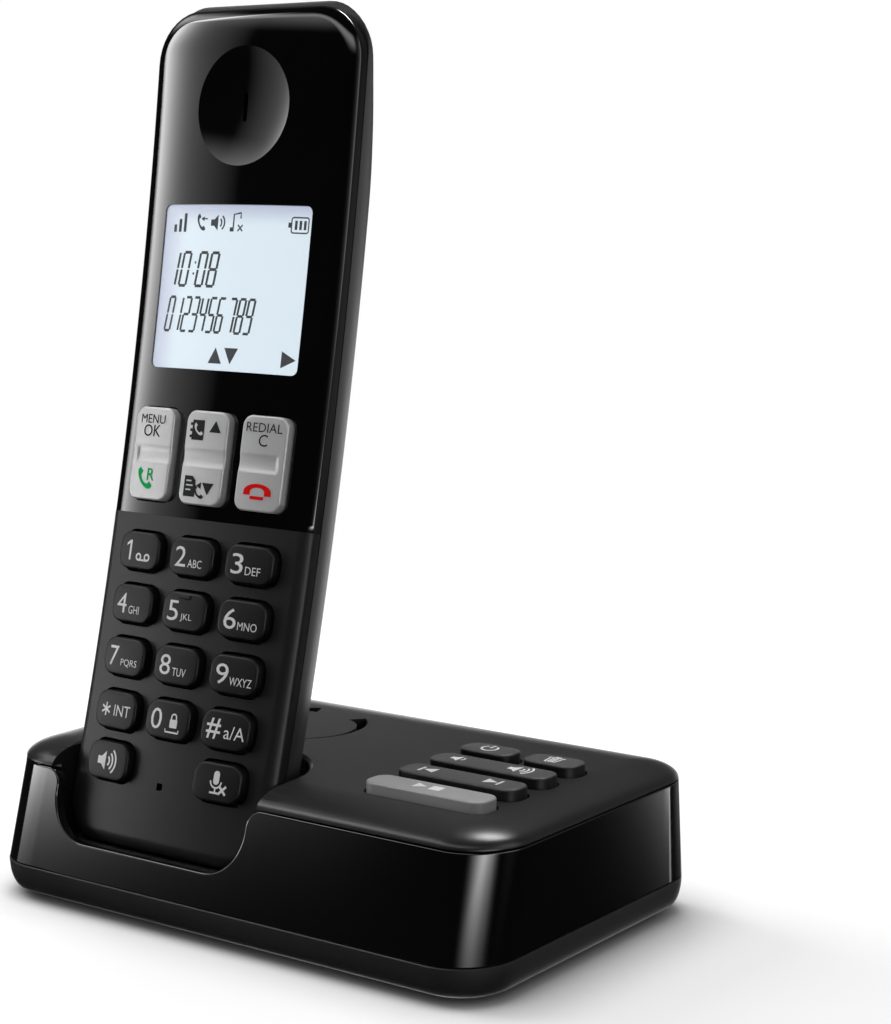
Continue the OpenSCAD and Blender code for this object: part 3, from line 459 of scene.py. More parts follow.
# Rear panel
# The matte plastic panel that closes the base at the back, with two socket openings.
# It is clipped in between the ends of the band.
rear_matte = plastic("rear_matte", (0.024, 0.024, 0.025), 0.48)
level = np.linspace(SEAM_Z + GAP, BAND_TOP_Z, 7)[:, None]
h = level - SEAM_Z
rear_half, rear_y = BASE_W / 2 - REAR_R - h * SIDE_SLOPE, BASE_D / 2 - REAR_R - h * BACK_SLOPE
first = np.arcsin((REAR_SPLIT_Y + 0.3 - rear_y) / REAR_R)
turn = first + np.linspace(0, 1, 15)[None] * (np.pi / 2 - first)
quarter = coords(rear_half + REAR_R * np.cos(turn), rear_y + REAR_R * np.sin(turn), level)
share = np.linspace(1, -1, 24)[None, 1:-1]
across = coords(rear_half * share, rear_y + REAR_R, level)
rear_points = np.concatenate([quarter, across, (quarter * [-1, 1, 1])[:, ::-1]], 1)
rear = make("rear_shell", loft(rear_points, closed=False), rear_matte, turn_out=False)
modify(rear, "SOLIDIFY", thickness=BAND_WALL * MM, offset=-1)
ROOM, LOWEST_HOLE = 0.25, 8.2
sockets = []
for node, radius in (("line_socket", 0.6), ("power_socket", 4.0)):
    (x0, _, z0), (x1, _, z1) = np.array(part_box(node)) / MM
    hole = rounded(x0 - ROOM, x1 + ROOM, max(z0, LOWEST_HOLE) - ROOM, z1 + ROOM, radius, 8, 2)
    sockets.append(loft([np.insert(hole, 1, y, axis=1) for y in (25, 40)]))
cut(rear, together(*sockets))
finish_piece(rear, "base", "base_rear_panel", edge=0.3, angle=40)
socket_black = plastic("socket_black", (0.01, 0.01, 0.01), 0.35, 0.5, 0.003)
dress(socket_black, "line_socket", "power_socket")

# Deck
# The matte top of the base, moulded in black plastic and screwed to the plinth from below: a soft shoulder all
# round, the leaning pocket for the handset, openings for five keys and the ring slot of the loudspeaker.
deck_matte = plastic("deck_matte", (0.017, 0.017, 0.0175), 0.29, 0.25, 0.004, shine=0.3)
SHOULDER_W, SHOULDER_H = 9.8, DECK_Z - BAND_TOP_Z - GAP
LEAN = np.radians(11.7)
HANDSET_Y, HANDSET_Z = -27.3, 11.7
KEY_X, BAR_W, BAR_D, BAR_R, SHORT_W, SHORT_X, KEY_CLEAR = 33.2, 24.8, 6.1, 2.4, 11.0, 6.8, 0.45
BASE_KEYS = {"play_stop_key": (KEY_X, -16.8, BAR_W), "skip_key": (KEY_X, -7.7, BAR_W),
             "volume_key": (KEY_X, 1.4, BAR_W), "power_key": (KEY_X - SHORT_X, 10.5, SHORT_W),
             "delete_key": (KEY_X + SHORT_X, 10.5, SHORT_W)}
VENT_Y, VENT_R, SLOT_W, HOOK_W, SLOT_FROM, SLOT_TO = 11.92, 12.3, 0.4, 2.5, 52, -248
POCKET_W, POCKET_D, POCKET_R, POCKET_FLOOR = 24.3, 18.4, 16, -0.35


def in_cradle(u, y, v):
    """Points of the handset's own frame, u across, y inwards and v up along it, leaned back and set in the cradle."""
    return coords(HANDSET_X + u, HANDSET_Y + y * np.cos(LEAN) + v * np.sin(LEAN),
                  HANDSET_Z - y * np.sin(LEAN) + v * np.cos(LEAN))


deck_foot = BAND_TOP_Z + GAP
profile = [(2.6, 6.75), (2.6, deck_foot), (0.15, deck_foot), (0.03, deck_foot + 0.1)]
swing = np.linspace(0, np.pi / 2, 14)[1:]
profile += [(SHOULDER_W * (1 - np.cos(a)), deck_foot + SHOULDER_H * np.sin(a)) for a in swing]
deck = make("deck_shell", loft([base_ring(i, z, min(z, BAND_TOP_Z)) for i, z in profile]), deck_matte)


def pocket_outline(spread):
    """The pocket's plan in the handset's frame: straight sides open to the front, and round corners at the back."""
    wide, deep, r = POCKET_W + spread, POCKET_D + spread, POCKET_R + spread
    back = np.concatenate([arc(wide - r, deep - r, r, 0, 90, 13), arc(r - wide, deep - r, r, 90, 180, 13)])
    return np.concatenate([[[-wide, -30], [wide, -30]], back])


cut(deck, loft([in_cradle(*pocket_outline(0).T, v) for v in (POCKET_FLOOR, 45.0)]))


def at_deck(outline, z):
    """Where the leaning pocket's wall meets a level: the outline is slid back along the lean."""
    y = HANDSET_Y + (outline[:, 1] + (z - HANDSET_Z) * np.sin(LEAN)) / np.cos(LEAN)
    return coords(HANDSET_X + outline[:, 0], y, z)


def key_well(x, y, width):
    """A key's outline in plan, widened all round by its clearance."""
    across, along = width / 2 + KEY_CLEAR, BAR_D / 2 + KEY_CLEAR
    return rounded(x - across, x + across, y - along, y + along, BAR_R + KEY_CLEAR, 8, 1)


def vent_slot():
    """The vent's outline: most of a circle, and back on a smaller one that the slot's ends widen away from."""
    turn = np.linspace(SLOT_FROM, SLOT_TO, 101)
    off_middle = np.abs(turn - (SLOT_FROM + SLOT_TO) / 2)
    inner = VENT_R - SLOT_W - HOOK_W * np.clip((off_middle - 58) / 85, 0, 1.1) ** 2.2
    circle = coords(np.cos(np.radians(turn)), np.sin(np.radians(turn)))
    return [HANDSET_X, VENT_Y] + np.concatenate([VENT_R * circle, (inner[:, None] * circle)[::-1]])


cut(deck, loft([at_deck(pocket_outline(s), DECK_Z + s - 0.5) for s in (-0.4, 1.8)]))
deck_holes = [key_well(*place) for place in BASE_KEYS.values()] + [vent_slot()]
cut(deck, together(*[loft([lift(outline, z) for z in (21.5, 33)]) for outline in deck_holes]))
contact_slots = [rounded(u - 2, u + 2, 3.9, 8.1, 0.4, 4, 1) for u in (-10, 10)]
cut(deck, together(*[loft([in_cradle(*slot.T, v) for v in (-3.5, 2)]) for slot in contact_slots]))
finish_piece(deck, "base", "base_deck", edge=0.18, angle=35)

# Charging contacts, loudspeaker and what lies under the deck
# Sprung gold-plated contacts in the pocket's floor; the loudspeaker, board and key mat are shut inside.
contact_metal = plastic("contact_metal", (0.75, 0.6, 0.32), 0.25, 0.4, 0.002, metal=1.0)
board_green = plastic("board_green", (0.01, 0.09, 0.04), 0.4, 0.6, 0.004)
mat_rubber = plastic("mat_rubber", (0.06, 0.06, 0.06), 0.7, 0.4, 0.005)
speaker_grey = plastic("speaker_grey", (0.012, 0.012, 0.012), 0.6, 0.4, 0.006)
dress(contact_metal, "charge_contact_left", "charge_contact_right")
dress(board_green, "base_circuit_board")
dress(mat_rubber, "base_key_mat")
dress(speaker_grey, "loudspeaker")

# Keys of the base
# Five plastic keys that rest on the rubber mat and stand a little proud of the deck: three bars and two short ones,
# each with a domed top.
BAR_TOP, BAR_RISE = 1.9, 0.1
# The caps are painted paler on top than on their dark sides: a painted highlight of light from above.
base_key = plastic("base_key", (0.004, 0.004, 0.0042), 0.45, 0.25, 0.004, shine=0.3,
                   top=((0.062, 0.062, 0.063), DECK_Z + BAR_TOP - 0.05))
play_grey = plastic("play_grey", (0.34, 0.34, 0.345), 0.4, 0.3, 0.003)


def dome(x, y, width, height, rise):
    """Height that a crowned top adds: rise in the middle, none along the edges."""
    return rise * np.clip(1 - (2 * x / width) ** 2, 0, 1) * np.clip(1 - (2 * y / height) ** 2, 0, 1)


def button(width, height, radius, edge, top, root, rise, runs=6, rings=8):
    """A key's skin: upright walls, an edge rounded by a quarter circle and a crowned top. Gives x, y and level."""
    a = np.linspace(0, np.pi / 2, 7)
    inner = np.linspace(edge, min(width, height) / 2, rings)[1:]
    inset = np.concatenate([[0], edge * (1 - np.cos(a)), inner])
    level = np.concatenate([[root], top - edge * (1 - np.sin(a)), np.full(len(inner), top)])
    flat = np.stack([rounded(i - width / 2, width / 2 - i, i - height / 2, height / 2 - i, max(radius - i, 0),
                             8, runs) for i in inset])
    crowned = level[:, None] + (level[:, None] > root) * dome(flat[..., 0], flat[..., 1], width, height, rise)
    return flat[..., 0], flat[..., 1], crowned


key_finish = {name: (base_key, "base_key") for name in BASE_KEYS}
key_finish["play_stop_key"] = play_grey, "play_key_grey"
for name, (x0, y0, width) in BASE_KEYS.items():
    material, slot = key_finish[name]
    x, y, level = button(width, BAR_D, BAR_R, 0.4, BAR_TOP, -3.4, BAR_RISE)
    made = make(name + "_cap", loft(coords(x0 + x, y0 + y, DECK_Z + level), caps=(True, False)), material)
    finish_piece(made, name, name, angle=50)

# Signs on the base's keys
# Pale prints on the tops of the keys: play and stop, skip, volume, power and delete.
PRINT = 0.05


def patch(points):
    """A flat face over an outline, turned to run anticlockwise."""
    x, y = np.asarray(points, float).T
    turn = np.sum(x * np.roll(y, -1) - y * np.roll(x, -1))
    return coords(x, y)[::1 if turn > 0 else -1], [list(range(len(x)))]


def stroke(path, width, closed=False):
    """A band of equal width along a path: both edges lie half a width to the side of it."""
    path = np.asarray(path, float)
    ahead = np.roll(path, -1, 0) - np.roll(path, 1, 0) if closed else np.gradient(path, axis=0)
    aside = coords(-ahead[:, 1], ahead[:, 0]) * (width / 2 / np.linalg.norm(ahead, axis=1))[:, None]
    return loft([path - aside, path + aside], closed, caps=(False, False))


def moved(shape, x=0.0, y=0.0, turn=0.0, size=1.0):
    """A flat shape turned by degrees, scaled and set down."""
    a = np.radians(turn)
    return shape[0] @ (size * np.array([[np.cos(a), np.sin(a)], [-np.sin(a), np.cos(a)]])) + [x, y], shape[1]


def triangle(x, y, width, height, turn=0.0):
    """A triangle with its point up, its middle at x and y."""
    return moved(patch([(-width / 2, -height / 2), (width / 2, -height / 2), (0, height / 2)]), x, y, turn)


def block(x0, y0, x1, y1):
    """A rectangle between two corners."""
    return patch([(x0, y0), (x1, y0), (x1, y1), (x0, y1)])


def loudspeaker(x, y, size, waves):
    """A horn with a number of sound waves beside it."""
    horn = patch([(-1.5, -0.5), (-0.8, -0.5), (0, -1.25), (0, 1.25), (-0.8, 0.5), (-1.5, 0.5)])
    sound = [stroke(arc(0, 0, 0.75 + 0.6 * k, -50, 50, 9), 0.3) for k in range(waves)]
    return moved(together(horn, *sound), x, y, 0, size)


def sign(name, body, material, shape, carrier):
    """A print: a flat shape laid on its carrier, which maps x and y to points in space."""
    made = make(name, (carrier(*shape[0].T), shape[1]), material, turn_out=False)
    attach(made, body)


def ink(name, colour, roughness=0.5, drift=0.05, shine=0.1):
    """A printed ink: a thin even coat with hardly any grain."""
    return plastic(name, colour, roughness, 0.2, 0.001, drift, shine)


pale_ink = ink("pale_ink", (0.9, 0.9, 0.9), drift=0.04, shine=0.5)
power_ring = arc(0, -0.1, 1.1, 125, 415, 33)
bin_can = stroke([(-1.05, 0.55), (-0.85, -1.35), (0.85, -1.35), (1.05, 0.55)], 0.3)
base_signs = {
    "play_stop_key": together(triangle(-1.9, 0, 2.5, 2.5, -90), block(0.1, -1.1, 2.4, 1.1)),
    "skip_key": together(block(-8.7, -1.25, -8.2, 1.25), triangle(-6.8, 0, 2.5, 2.5, 90),
                         triangle(6.1, 0, 2.5, 2.5, -90), block(7.5, -1.25, 8.0, 1.25)),
    "volume_key": together(loudspeaker(-6.9, 0, 1.2, 1), loudspeaker(5.4, 0, 1.35, 3)),
    "power_key": moved(together(stroke(power_ring, 0.32), block(-0.16, 0, 0.16, 1.4)), size=1.35),
    "delete_key": moved(together(bin_can, *[block(x - 0.14, -1.2, x + 0.14, 0.5) for x in (-0.4, 0.0, 0.4)],
                                 block(-1.4, 0.7, 1.4, 1.05), block(-0.45, 1.05, 0.45, 1.4)), size=1.2),
}
for name, shape in base_signs.items():
    x0, y0, width = BASE_KEYS[name]
    sign(name + "_sign", name, pale_ink, shape, lambda x, y: coords(
        x0 + x, y0 + y, DECK_Z + BAR_TOP + PRINT + dome(x, y, width, BAR_D, BAR_RISE)))

# Front of the handset
# The lower, matte half of the front cover: rounded along the sides with a crease where the side begins.
# Moulded black plastic, held by screws from behind.
front_matte = plastic("front_matte", (0.004, 0.004, 0.0043), 0.42, 0.3, 0.004, shine=0.32)
HALF_W, LENGTH, BOW_R, BOW_V, SEAM_D = 23.5, 152.5, 867.0, 70.5, 4.2
EDGE_W, EDGE_END, EDGE_R, CREASE = 2.5, 2.5, 2.56, np.radians(68)
TOP_R, FOOT_R, TOP_DROP = 9.5, 8.0, 1.4
FASCIA_FOOT, CROWN, CROWN_HALF, CROWN_UP, ROLL_V, ROLL_R = 59.6, 1.3, 21.0, 0.35, 144.5, 35
COLUMN, ROW, ROW_V, CALL_V = 12.95, 9.64, 52.8, 14.78
KEY_W, KEY_H, KEY_R, KEY_PROUD, WELL = 10.2, 6.8, 2.4, 1.6, 0.5
ROCKER_W, ROCKER_H, ROCKER_V = 9.8, 16.8, 70.5


def bowed(u, d, v):
    """A point at depth d behind the handset's front, which bows about an axis across it and leans in the cradle."""
    return in_cradle(u, np.sqrt((BOW_R + d) ** 2 - (v - BOW_V) ** 2) - BOW_R, v)


def crown(u, v):
    """How far the front falls back: a shallow arch across, proud in the middle, and a roll-off at the top."""
    return CROWN * (u / CROWN_HALF) ** 2 - CROWN_UP + np.maximum(v - ROLL_V, 0) ** 2 / (2 * ROLL_R)


def on_front(u, d, v):
    """A point at depth d behind the crowned front."""
    return bowed(u, d + crown(u, v), v)


def handset_field(level):
    """Distance from, and outward normal of, the surface level(u, d, v) = 0 in the bowed handset, by small steps."""
    def field(points):
        """Undoes the lean and the bow, and leans the gradient again."""
        u, y, z = (points - [HANDSET_X, HANDSET_Y, HANDSET_Z]).T
        q, v = y * np.cos(LEAN) - z * np.sin(LEAN), y * np.sin(LEAN) + z * np.cos(LEAN)
        place = np.stack([u, np.hypot(BOW_R + q, v - BOW_V) - BOW_R, v])
        steps = 1e-3 * np.eye(3)[:, :, None]
        du, dd, dv = ((level(*(place + step)) - level(*(place - step))) / 2e-3 for step in steps)
        normal = -np.stack([du, dd * (BOW_R + q) / (BOW_R + place[1]), dv + dd * (v - BOW_V) / (BOW_R + place[1])])
        u, q, v = normal / np.linalg.norm(normal, axis=0)
        leaned = coords(u, q * np.cos(LEAN) + v * np.sin(LEAN), v * np.cos(LEAN) - q * np.sin(LEAN))
        return level(*place), leaned
    return field


def true_normals(piece, *fields):
    """Faces that lie on a known surface take its normals, so that openings leave no ripple in the gloss."""
    mesh = piece.data
    points, normals = np.empty((len(mesh.vertices), 3)), np.empty((len(mesh.loops), 3))
    ends, first, count = (np.empty(size, int) for size in (len(mesh.loops), len(mesh.polygons), len(mesh.polygons)))
    mesh.vertices.foreach_get("co", points.ravel())
    mesh.corner_normals.foreach_get("vector", normals.ravel())
    mesh.loops.foreach_get("vertex_index", ends)
    mesh.polygons.foreach_get("loop_start", first)
    mesh.polygons.foreach_get("loop_total", count)
    for field in fields:
        away, normal = field(points / MM)
        on = np.repeat(np.minimum.reduceat(np.abs(away[ends]) < 0.02, first), count)
        normals[on] = normal[ends][on]
    mesh.normals_split_custom_set(normals.tolist())


def front_level(u, d, v):
    """Depth below the crowned front."""
    return d - crown(u, v)


def handset_outline(across, along, length):
    """The handset's outline in u and v, drawn in from the sides and from the ends of a length."""
    radius = np.maximum(np.array([TOP_R, TOP_R, FOOT_R, FOOT_R]) - (across + along) / 2, 0)
    return rounded(-HALF_W + across, HALF_W - across, along, length - along, radius, 10, 48).T


def front_ring(across, along, depth):
    """A ring of the front at a depth, to which its crown adds less and less towards the seam."""
    u, v = handset_outline(across, along, LENGTH - TOP_DROP)
    return bowed(u, depth + crown(u, v) * max(1 - depth / SEAM_D, 0), v)


def front_block():
    """Skin of the whole front: flat middle, edge of an ellipse that ends in a crease, short side and a flat back."""
    a = np.linspace(0, CREASE, 9)[::-1]
    rounding = [(EDGE_W * (1 - np.sin(t) / np.sin(CREASE)), EDGE_END * (1 - np.sin(t) / np.sin(CREASE)),
                 EDGE_R * (1 - np.cos(t))) for t in a]
    middle = [(EDGE_W + s, EDGE_END + s, 0.0) for s in np.linspace(0, HALF_W - EDGE_W, 14)[1:]]
    back = [(s, s, SEAM_D - 0.15) for s in np.linspace(0.0, HALF_W, 5)[::-1]]
    rings = back + [(0.0, 0.0, 2.62)] + rounding + middle
    return loft([front_ring(*ring) for ring in rings], caps=(False, False))


def front_prism(outline, low, high):
    """A prism through the front between two depths, over an outline in u and v."""
    return loft([bowed(outline[:, 0], d, outline[:, 1]) for d in (high, low)])


keys = {"key_" + name: (COLUMN * (i % 3 - 1), ROW_V - ROW * (i // 3))
        for i, name in enumerate(("1", "2", "3", "4", "5", "6", "7", "8", "9", "star", "0", "hash"))}
keys.update(key_speaker=(-COLUMN, CALL_V), key_mute=(COLUMN, CALL_V))


def opening(u, v, width, height, radius):
    """A rounded rectangle about a middle."""
    return rounded(u - width / 2, u + width / 2, v - height / 2, v + height / 2, radius, 8, 4)


front = make("front_shell", front_block(), front_matte)
cut(front, front_prism(opening(0, FASCIA_FOOT + 50, 60, 100, 0.2), -6, 9))
key_wells = [opening(u, v, KEY_W + 2 * WELL, KEY_H + 2 * WELL, KEY_R + WELL) for u, v in keys.values()]
mic_hole = opening(-0.7, 11.88, 1.3, 1.3, 0.15)
cut(front, together(*[front_prism(o, -4, 3.5) for o in key_wells + [mic_hole]]))
finish_piece(front, "handset", "handset_front_cover", edge=0.14, angle=40)
true_normals(front, handset_field(front_level))

# Fascia
# The upper half of the front: a polished black cover plate, glued on, with the earpiece dish and openings for the
# display and three keys.
fascia_gloss = plastic("fascia_gloss", (0.003, 0.003, 0.0035), 0.05, 1.5, 0.0004, 0.3)
DISPLAY_W, DISPLAY_H, DISPLAY_U, DISPLAY_V, DISPLAY_R = 34.4, 29.6, -0.25, 101.1, 1.2
DISH_R, DISH_DEPTH, DISH_U, DISH_V = 10.6, 1.02, -0.45, 133.4
ROCKER_U = -0.2
rockers = {"menu_talk_key": ROCKER_U - COLUMN, "up_down_key": ROCKER_U, "redial_end_key": ROCKER_U + COLUMN}
fascia = make("fascia_shell", front_block(), fascia_gloss)
cut(fascia, front_prism(opening(0, FASCIA_FOOT - 50.04, 60, 100, 0.2), -6, 9))
ball_r = (DISH_R ** 2 + DISH_DEPTH ** 2) / (2 * DISH_DEPTH)
round_about = np.linspace(0, 2 * np.pi, 97)[None, :-1]
polar = np.linspace(0, np.arcsin(DISH_R / ball_r) * 1.4, 24)[:, None]
ball = on_front(DISH_U + ball_r * np.sin(polar) * np.cos(round_about),
                DISH_DEPTH - ball_r + ball_r * np.cos(polar),
                DISH_V + ball_r * np.sin(polar) * np.sin(round_about))
cut(fascia, loft(ball, caps=(False, True)))
fascia_holes = [(opening(DISPLAY_U, DISPLAY_V, DISPLAY_W, DISPLAY_H, DISPLAY_R), 3.9),
                (opening(DISH_U, DISH_V, 0.9, 5.2, 0.42), 3.4)]
fascia_holes += [(opening(u, ROCKER_V, ROCKER_W + 0.6, ROCKER_H + 0.6, 2.2), 3.9) for u in rockers.values()]
cut(fascia, together(*[front_prism(o, -4, d) for o, d in fascia_holes]))
finish_piece(fascia, "handset", "handset_fascia", edge=0.1, angle=35)


def dish_level(u, d, v):
    """Distance outside the ball that hollows the dish."""
    return np.sqrt((u - DISH_U) ** 2 + (d - crown(u, v) - DISH_DEPTH + ball_r) ** 2 + (v - DISH_V) ** 2) - ball_r


true_normals(fascia, handset_field(front_level), handset_field(dish_level))

# Display
# A backlit panel behind a clear plastic window that is glued in flush with the fascia.
DISPLAY_TOP = 0.35
panel_light, wire = empty_material("display_light")
place = wire.node("TexCoord", out="Object")
# The panel's light is painted darker towards its left and top edges: a painted shadow of the window's frame.
left_shade_fade = ramp(part(place, "X"), (HANDSET_X - 17.4) * MM, (HANDSET_X - 11) * MM)
top_shade_fade = ramp(part(place, "Z"), 0.1253, 0.1215)
glow = mixed(0.3 + 0.7 * left_shade_fade.math("MINIMUM", top_shade_fade), (0.42, 0.45, 0.62, 1), (0.76, 0.88, 0.96, 1))
show(wire.node("BsdfPrincipled", (), {
    "Base Color": (0.1, 0.1, 0.11, 1), "Roughness": 0.3, "Emission Color": glow, "Emission Strength": 0.95}))


def display_plate(low, high):
    """A plate that fills the display's opening between two depths behind the front: rings drawn in to a line."""
    inset = np.linspace(0.05, DISPLAY_H / 2, 9)
    w, h = DISPLAY_W / 2 - inset, DISPLAY_H / 2 - inset
    rings = [rounded(DISPLAY_U - a, DISPLAY_U + a, DISPLAY_V - b, DISPLAY_V + b, max(DISPLAY_R - i, 0), 8, 16)
             for a, b, i in zip(w, h, inset)]
    levels = ((high, rings[::-1]), (low, rings))
    return loft([on_front(ring[:, 0], d, ring[:, 1]) for d, row in levels for ring in row], caps=(False, False))


shown = make("display_panel", display_plate(DISPLAY_TOP, 3.0), panel_light)
finish_piece(shown, "handset", "display_module", angle=40)
clear, wire = empty_material("display_clear")
haze = wire.node("TexNoise", (), {"Vector": wire.node("TexCoord", out="Object"), "Scale": 200.0})
show(wire.node("BsdfPrincipled", (), {
    "Base Color": (0.9, 0.95, 1.0, 1), "Roughness": 0.04 + 0.02 * haze, "Alpha": 0.08}))
pane = make("display_pane", display_plate(0.08, 0.26), clear)
finish_piece(pane, "handset", "display_window", edge=0.05, steps=1, angle=40)

# Signs on the display
# Dark segments behind the window: signal, call, sound and battery signs, a clock, a number and arrows.
lcd_ink = ink("lcd_ink", (0.012, 0.013, 0.016), 0.6)
SEGMENTS = {"0": "abcdef", "1": "bc", "2": "abged", "3": "abgcd", "4": "fgbc",
            "5": "afgcd", "6": "afgedc", "7": "abc", "8": "abcdefg", "9": "abfgcd"}
SEGMENT_ENDS = {"a": (0, 2, 1, 2), "b": (1, 2, 1, 1), "c": (1, 1, 1, 0), "d": (0, 0, 1, 0),
                "e": (0, 1, 0, 0), "f": (0, 2, 0, 1), "g": (0, 1, 1, 1)}
SLANT = 0.15


def receiver(x, y, size, turn=0.0):
    """A telephone receiver, hollow side down: an arch between two ellipses with square ends."""
    a = np.radians(np.linspace(180, 0, 17))
    outer = coords(3 * np.cos(a), 1.45 * np.sin(a) - 0.4)
    inner = coords(1.55 * np.cos(a), 0.75 * np.sin(a) - 0.4)[::-1]
    ends = np.array([[3, -1.05], [1.55, -1.05]])
    return moved(patch(np.concatenate([outer, ends, inner, (ends * [-1, 1])[::-1]])), x, y, turn, size)


def cross(x, y, size, width):
    """Two strokes across each other."""
    return together(*[stroke([(x - size, y - k * size), (x + size, y + k * size)], width) for k in (-1, 1)])


def segment_digits(digits, x, y, width, height, pitch, line):
    """Slanted seven-segment figures: each lit segment is a stroke between two corners of the figure's cell."""
    cells = [(x + pitch * i, np.reshape(SEGMENT_ENDS[s], (2, 2)) * [width, height / 2])
             for i, digit in enumerate(digits) for s in SEGMENTS[digit]]
    lines = [stroke(corners + (corners.mean(0) - corners) * 0.08 + [left, 0], line) for left, corners in cells]
    points, faces = together(*lines)
    return points + SLANT * points[:, 1:] * [1, 0] + [0, y], faces


def on_display(x, y):
    """From the display's left and top edge to the panel's face."""
    return on_front(DISPLAY_U - DISPLAY_W / 2 + x, DISPLAY_TOP - 0.03, DISPLAY_V + DISPLAY_H / 2 + y)


bars = [block(2.3 + 1.25 * k, -4.9, 3.0 + 1.25 * k, -3.55 + 1.0 * k) for k in range(3)]
call = [receiver(9.0, -3.3, 0.55, 120), block(9.3, -2.65, 10.7, -2.4), triangle(9.5, -2.52, 0.9, 0.8, 90)]
note = [stroke([(17.0, -4.2), (17.0, -1.7), (18.6, -1.4), (18.6, -2.4)], 0.35), block(16.2, -4.75, 17.15, -4.0),
        cross(18.6, -4.1, 0.55, 0.3)]
battery = [stroke(rounded(30.0, 33.6, -4.7, -2.0, 0.4, 4, 1), 0.26, closed=True), block(29.3, -3.8, 29.9, -2.9)]
battery += [block(30.7 + 0.95 * k, -4.15, 31.25 + 0.95 * k, -2.55) for k in range(3)]
arrows = [triangle(15.65, -26.9, 3.2, 2.9), triangle(19.25, -26.9, 3.2, 2.9, 180),
          triangle(32.1, -26.9, 3.0, 3.1, -90)]
clock = [segment_digits(pair, x, -14.6, 1.75, 6.0, 2.8, 0.54) for pair, x in (("10", 2.0), ("08", 8.9))]
clock += [block(8.1, -12.6, 8.5, -12.2), block(8.4, -10.6, 8.8, -10.2)]
number = [segment_digits(run, x, -22.8, 1.35, 6.1, 2.08, 0.48) for run, x in (("0123456", 2.2), ("789", 17.3))]
sign("display_signs", "handset", lcd_ink,
     together(*bars, *call, loudspeaker(13.3, -3.2, 1.15, 2), *note, *battery, *arrows, *clock, *number), on_display)

# Silver keys
# Three plastic rockers painted satin silver, each with a cross groove between its two halves.
silver = plastic("silver_paint", (0.58, 0.58, 0.585), 0.4, 0.12, 0.002, 0.04, metal=0.35)
ROCKER_TOP, ROCKER_RISE, TROUGH_DEPTH, TROUGH_HALF = 1.5, 0.06, 0.22, 1.65
closed_ends = {"menu_talk_key": (-3.4, 9), "up_down_key": (-9, 9), "redial_end_key": (-9, 3.4)}


def trough(x, y, start, end):
    """Depth of a rocker's cross groove: a round hollow along y that fades out at a closed end."""
    hollow = np.clip(1 - (y / TROUGH_HALF) ** 2, 0, 1)
    ends = np.clip((x - start) / 0.9 + 0.5, 0, 1) * np.clip((end - x) / 0.9 + 0.5, 0, 1)
    return TROUGH_DEPTH * hollow * ends * ends * (3 - 2 * ends)


for name, u0 in rockers.items():
    x, y, level = button(ROCKER_W, ROCKER_H, 2.0, 0.35, ROCKER_TOP, -2.2, ROCKER_RISE, runs=60, rings=24)
    level = level - np.where(level > 0, trough(x, y, *closed_ends[name]), 0)
    made = make(name + "_cap", loft(on_front(u0 + x, -level, ROCKER_V + y), caps=(True, False)), silver)
    finish_piece(made, name, name, angle=40)

# Signs on the silver keys
# Words and signs printed on the rockers in black, green and red.
dark_ink = ink("dark_ink", (0.02, 0.02, 0.021))
green_ink = ink("green_ink", (0.0, 0.55, 0.13))
red_ink = ink("red_ink", (0.95, 0.008, 0.006))


def letters(words, x, y, width, height, bold=0.0):
    """Words as a flat shape that fills a box from its lower left corner."""
    curve = bpy.data.curves.new("words", "FONT")
    curve.body, curve.offset, curve.resolution_u = words, bold, 3
    holder = placed("words", curve)
    mesh = result(holder)
    points = np.empty((len(mesh.vertices), 3))
    mesh.vertices.foreach_get("co", points.ravel())
    faces = [list(face.vertices) for face in mesh.polygons]
    bpy.data.objects.remove(holder)
    low, high = points[:, :2].min(0), points[:, :2].max(0)
    return (points[:, :2] - low) / (high - low) * [width, height] + [x, y], faces


binder = [block(-3.3, 3.1, -0.5, 6.7)] + [block(-3.8, 3.5 + 1.1 * k, -3.3, 4.0 + 1.1 * k) for k in range(3)]
record_list = [patch([(-3.7, -7.0), (-1.0, -7.0), (-1.0, -4.1), (-1.8, -3.3), (-3.7, -3.3)]),
               receiver(-0.3, -6.2, 0.5, 135), triangle(-0.2, -4.9, 1.3, 1.1, 90)]
rocker_signs = [
    ("menu_talk_key", "words", dark_ink, 0,
     [letters("MENU", -3.5, 5.45, 6.2, 1.6), letters("OK", -2.5, 3.05, 4.3, 2.15)]),
    ("menu_talk_key", "call", green_ink, 0,
     [receiver(-1.1, -4.8, 0.8, 135), letters("R", -0.3, -4.9, 1.8, 2.2, 0.01)]),
    ("up_down_key", "signs", dark_ink, 0,
     [*binder, *record_list, triangle(2.1, 5.7, 2.7, 2.1), triangle(1.9, -5.4, 2.7, 2.1, 180)]),
    ("up_down_key", "gaps", silver, 0.03,
     [receiver(-1.9, 4.9, 0.45, 135), block(-3.2, -4.3, -2.0, -4.05), block(-3.2, -5.1, -1.6, -4.85),
      block(-3.2, -5.9, -2.0, -5.65)]),
    ("redial_end_key", "words", dark_ink, 0,
     [letters("REDIAL", -3.9, 5.5, 7.7, 1.6), letters("C", -0.95, 3.0, 1.9, 2.1)]),
    ("redial_end_key", "end", red_ink, 0,
     [receiver(0.0, -4.55, 0.98), patch(rounded(-1.5, 1.5, -6.3, -5.7, 0.28, 4, 1))]),
]
for name, what, colour, over, shapes in rocker_signs:
    sign(name + "_" + what, name, colour, together(*shapes), lambda x, y: on_front(
        rockers[name] + x, -ROCKER_TOP - PRINT - over - dome(x, y, ROCKER_W, ROCKER_H, ROCKER_RISE), ROCKER_V + y))

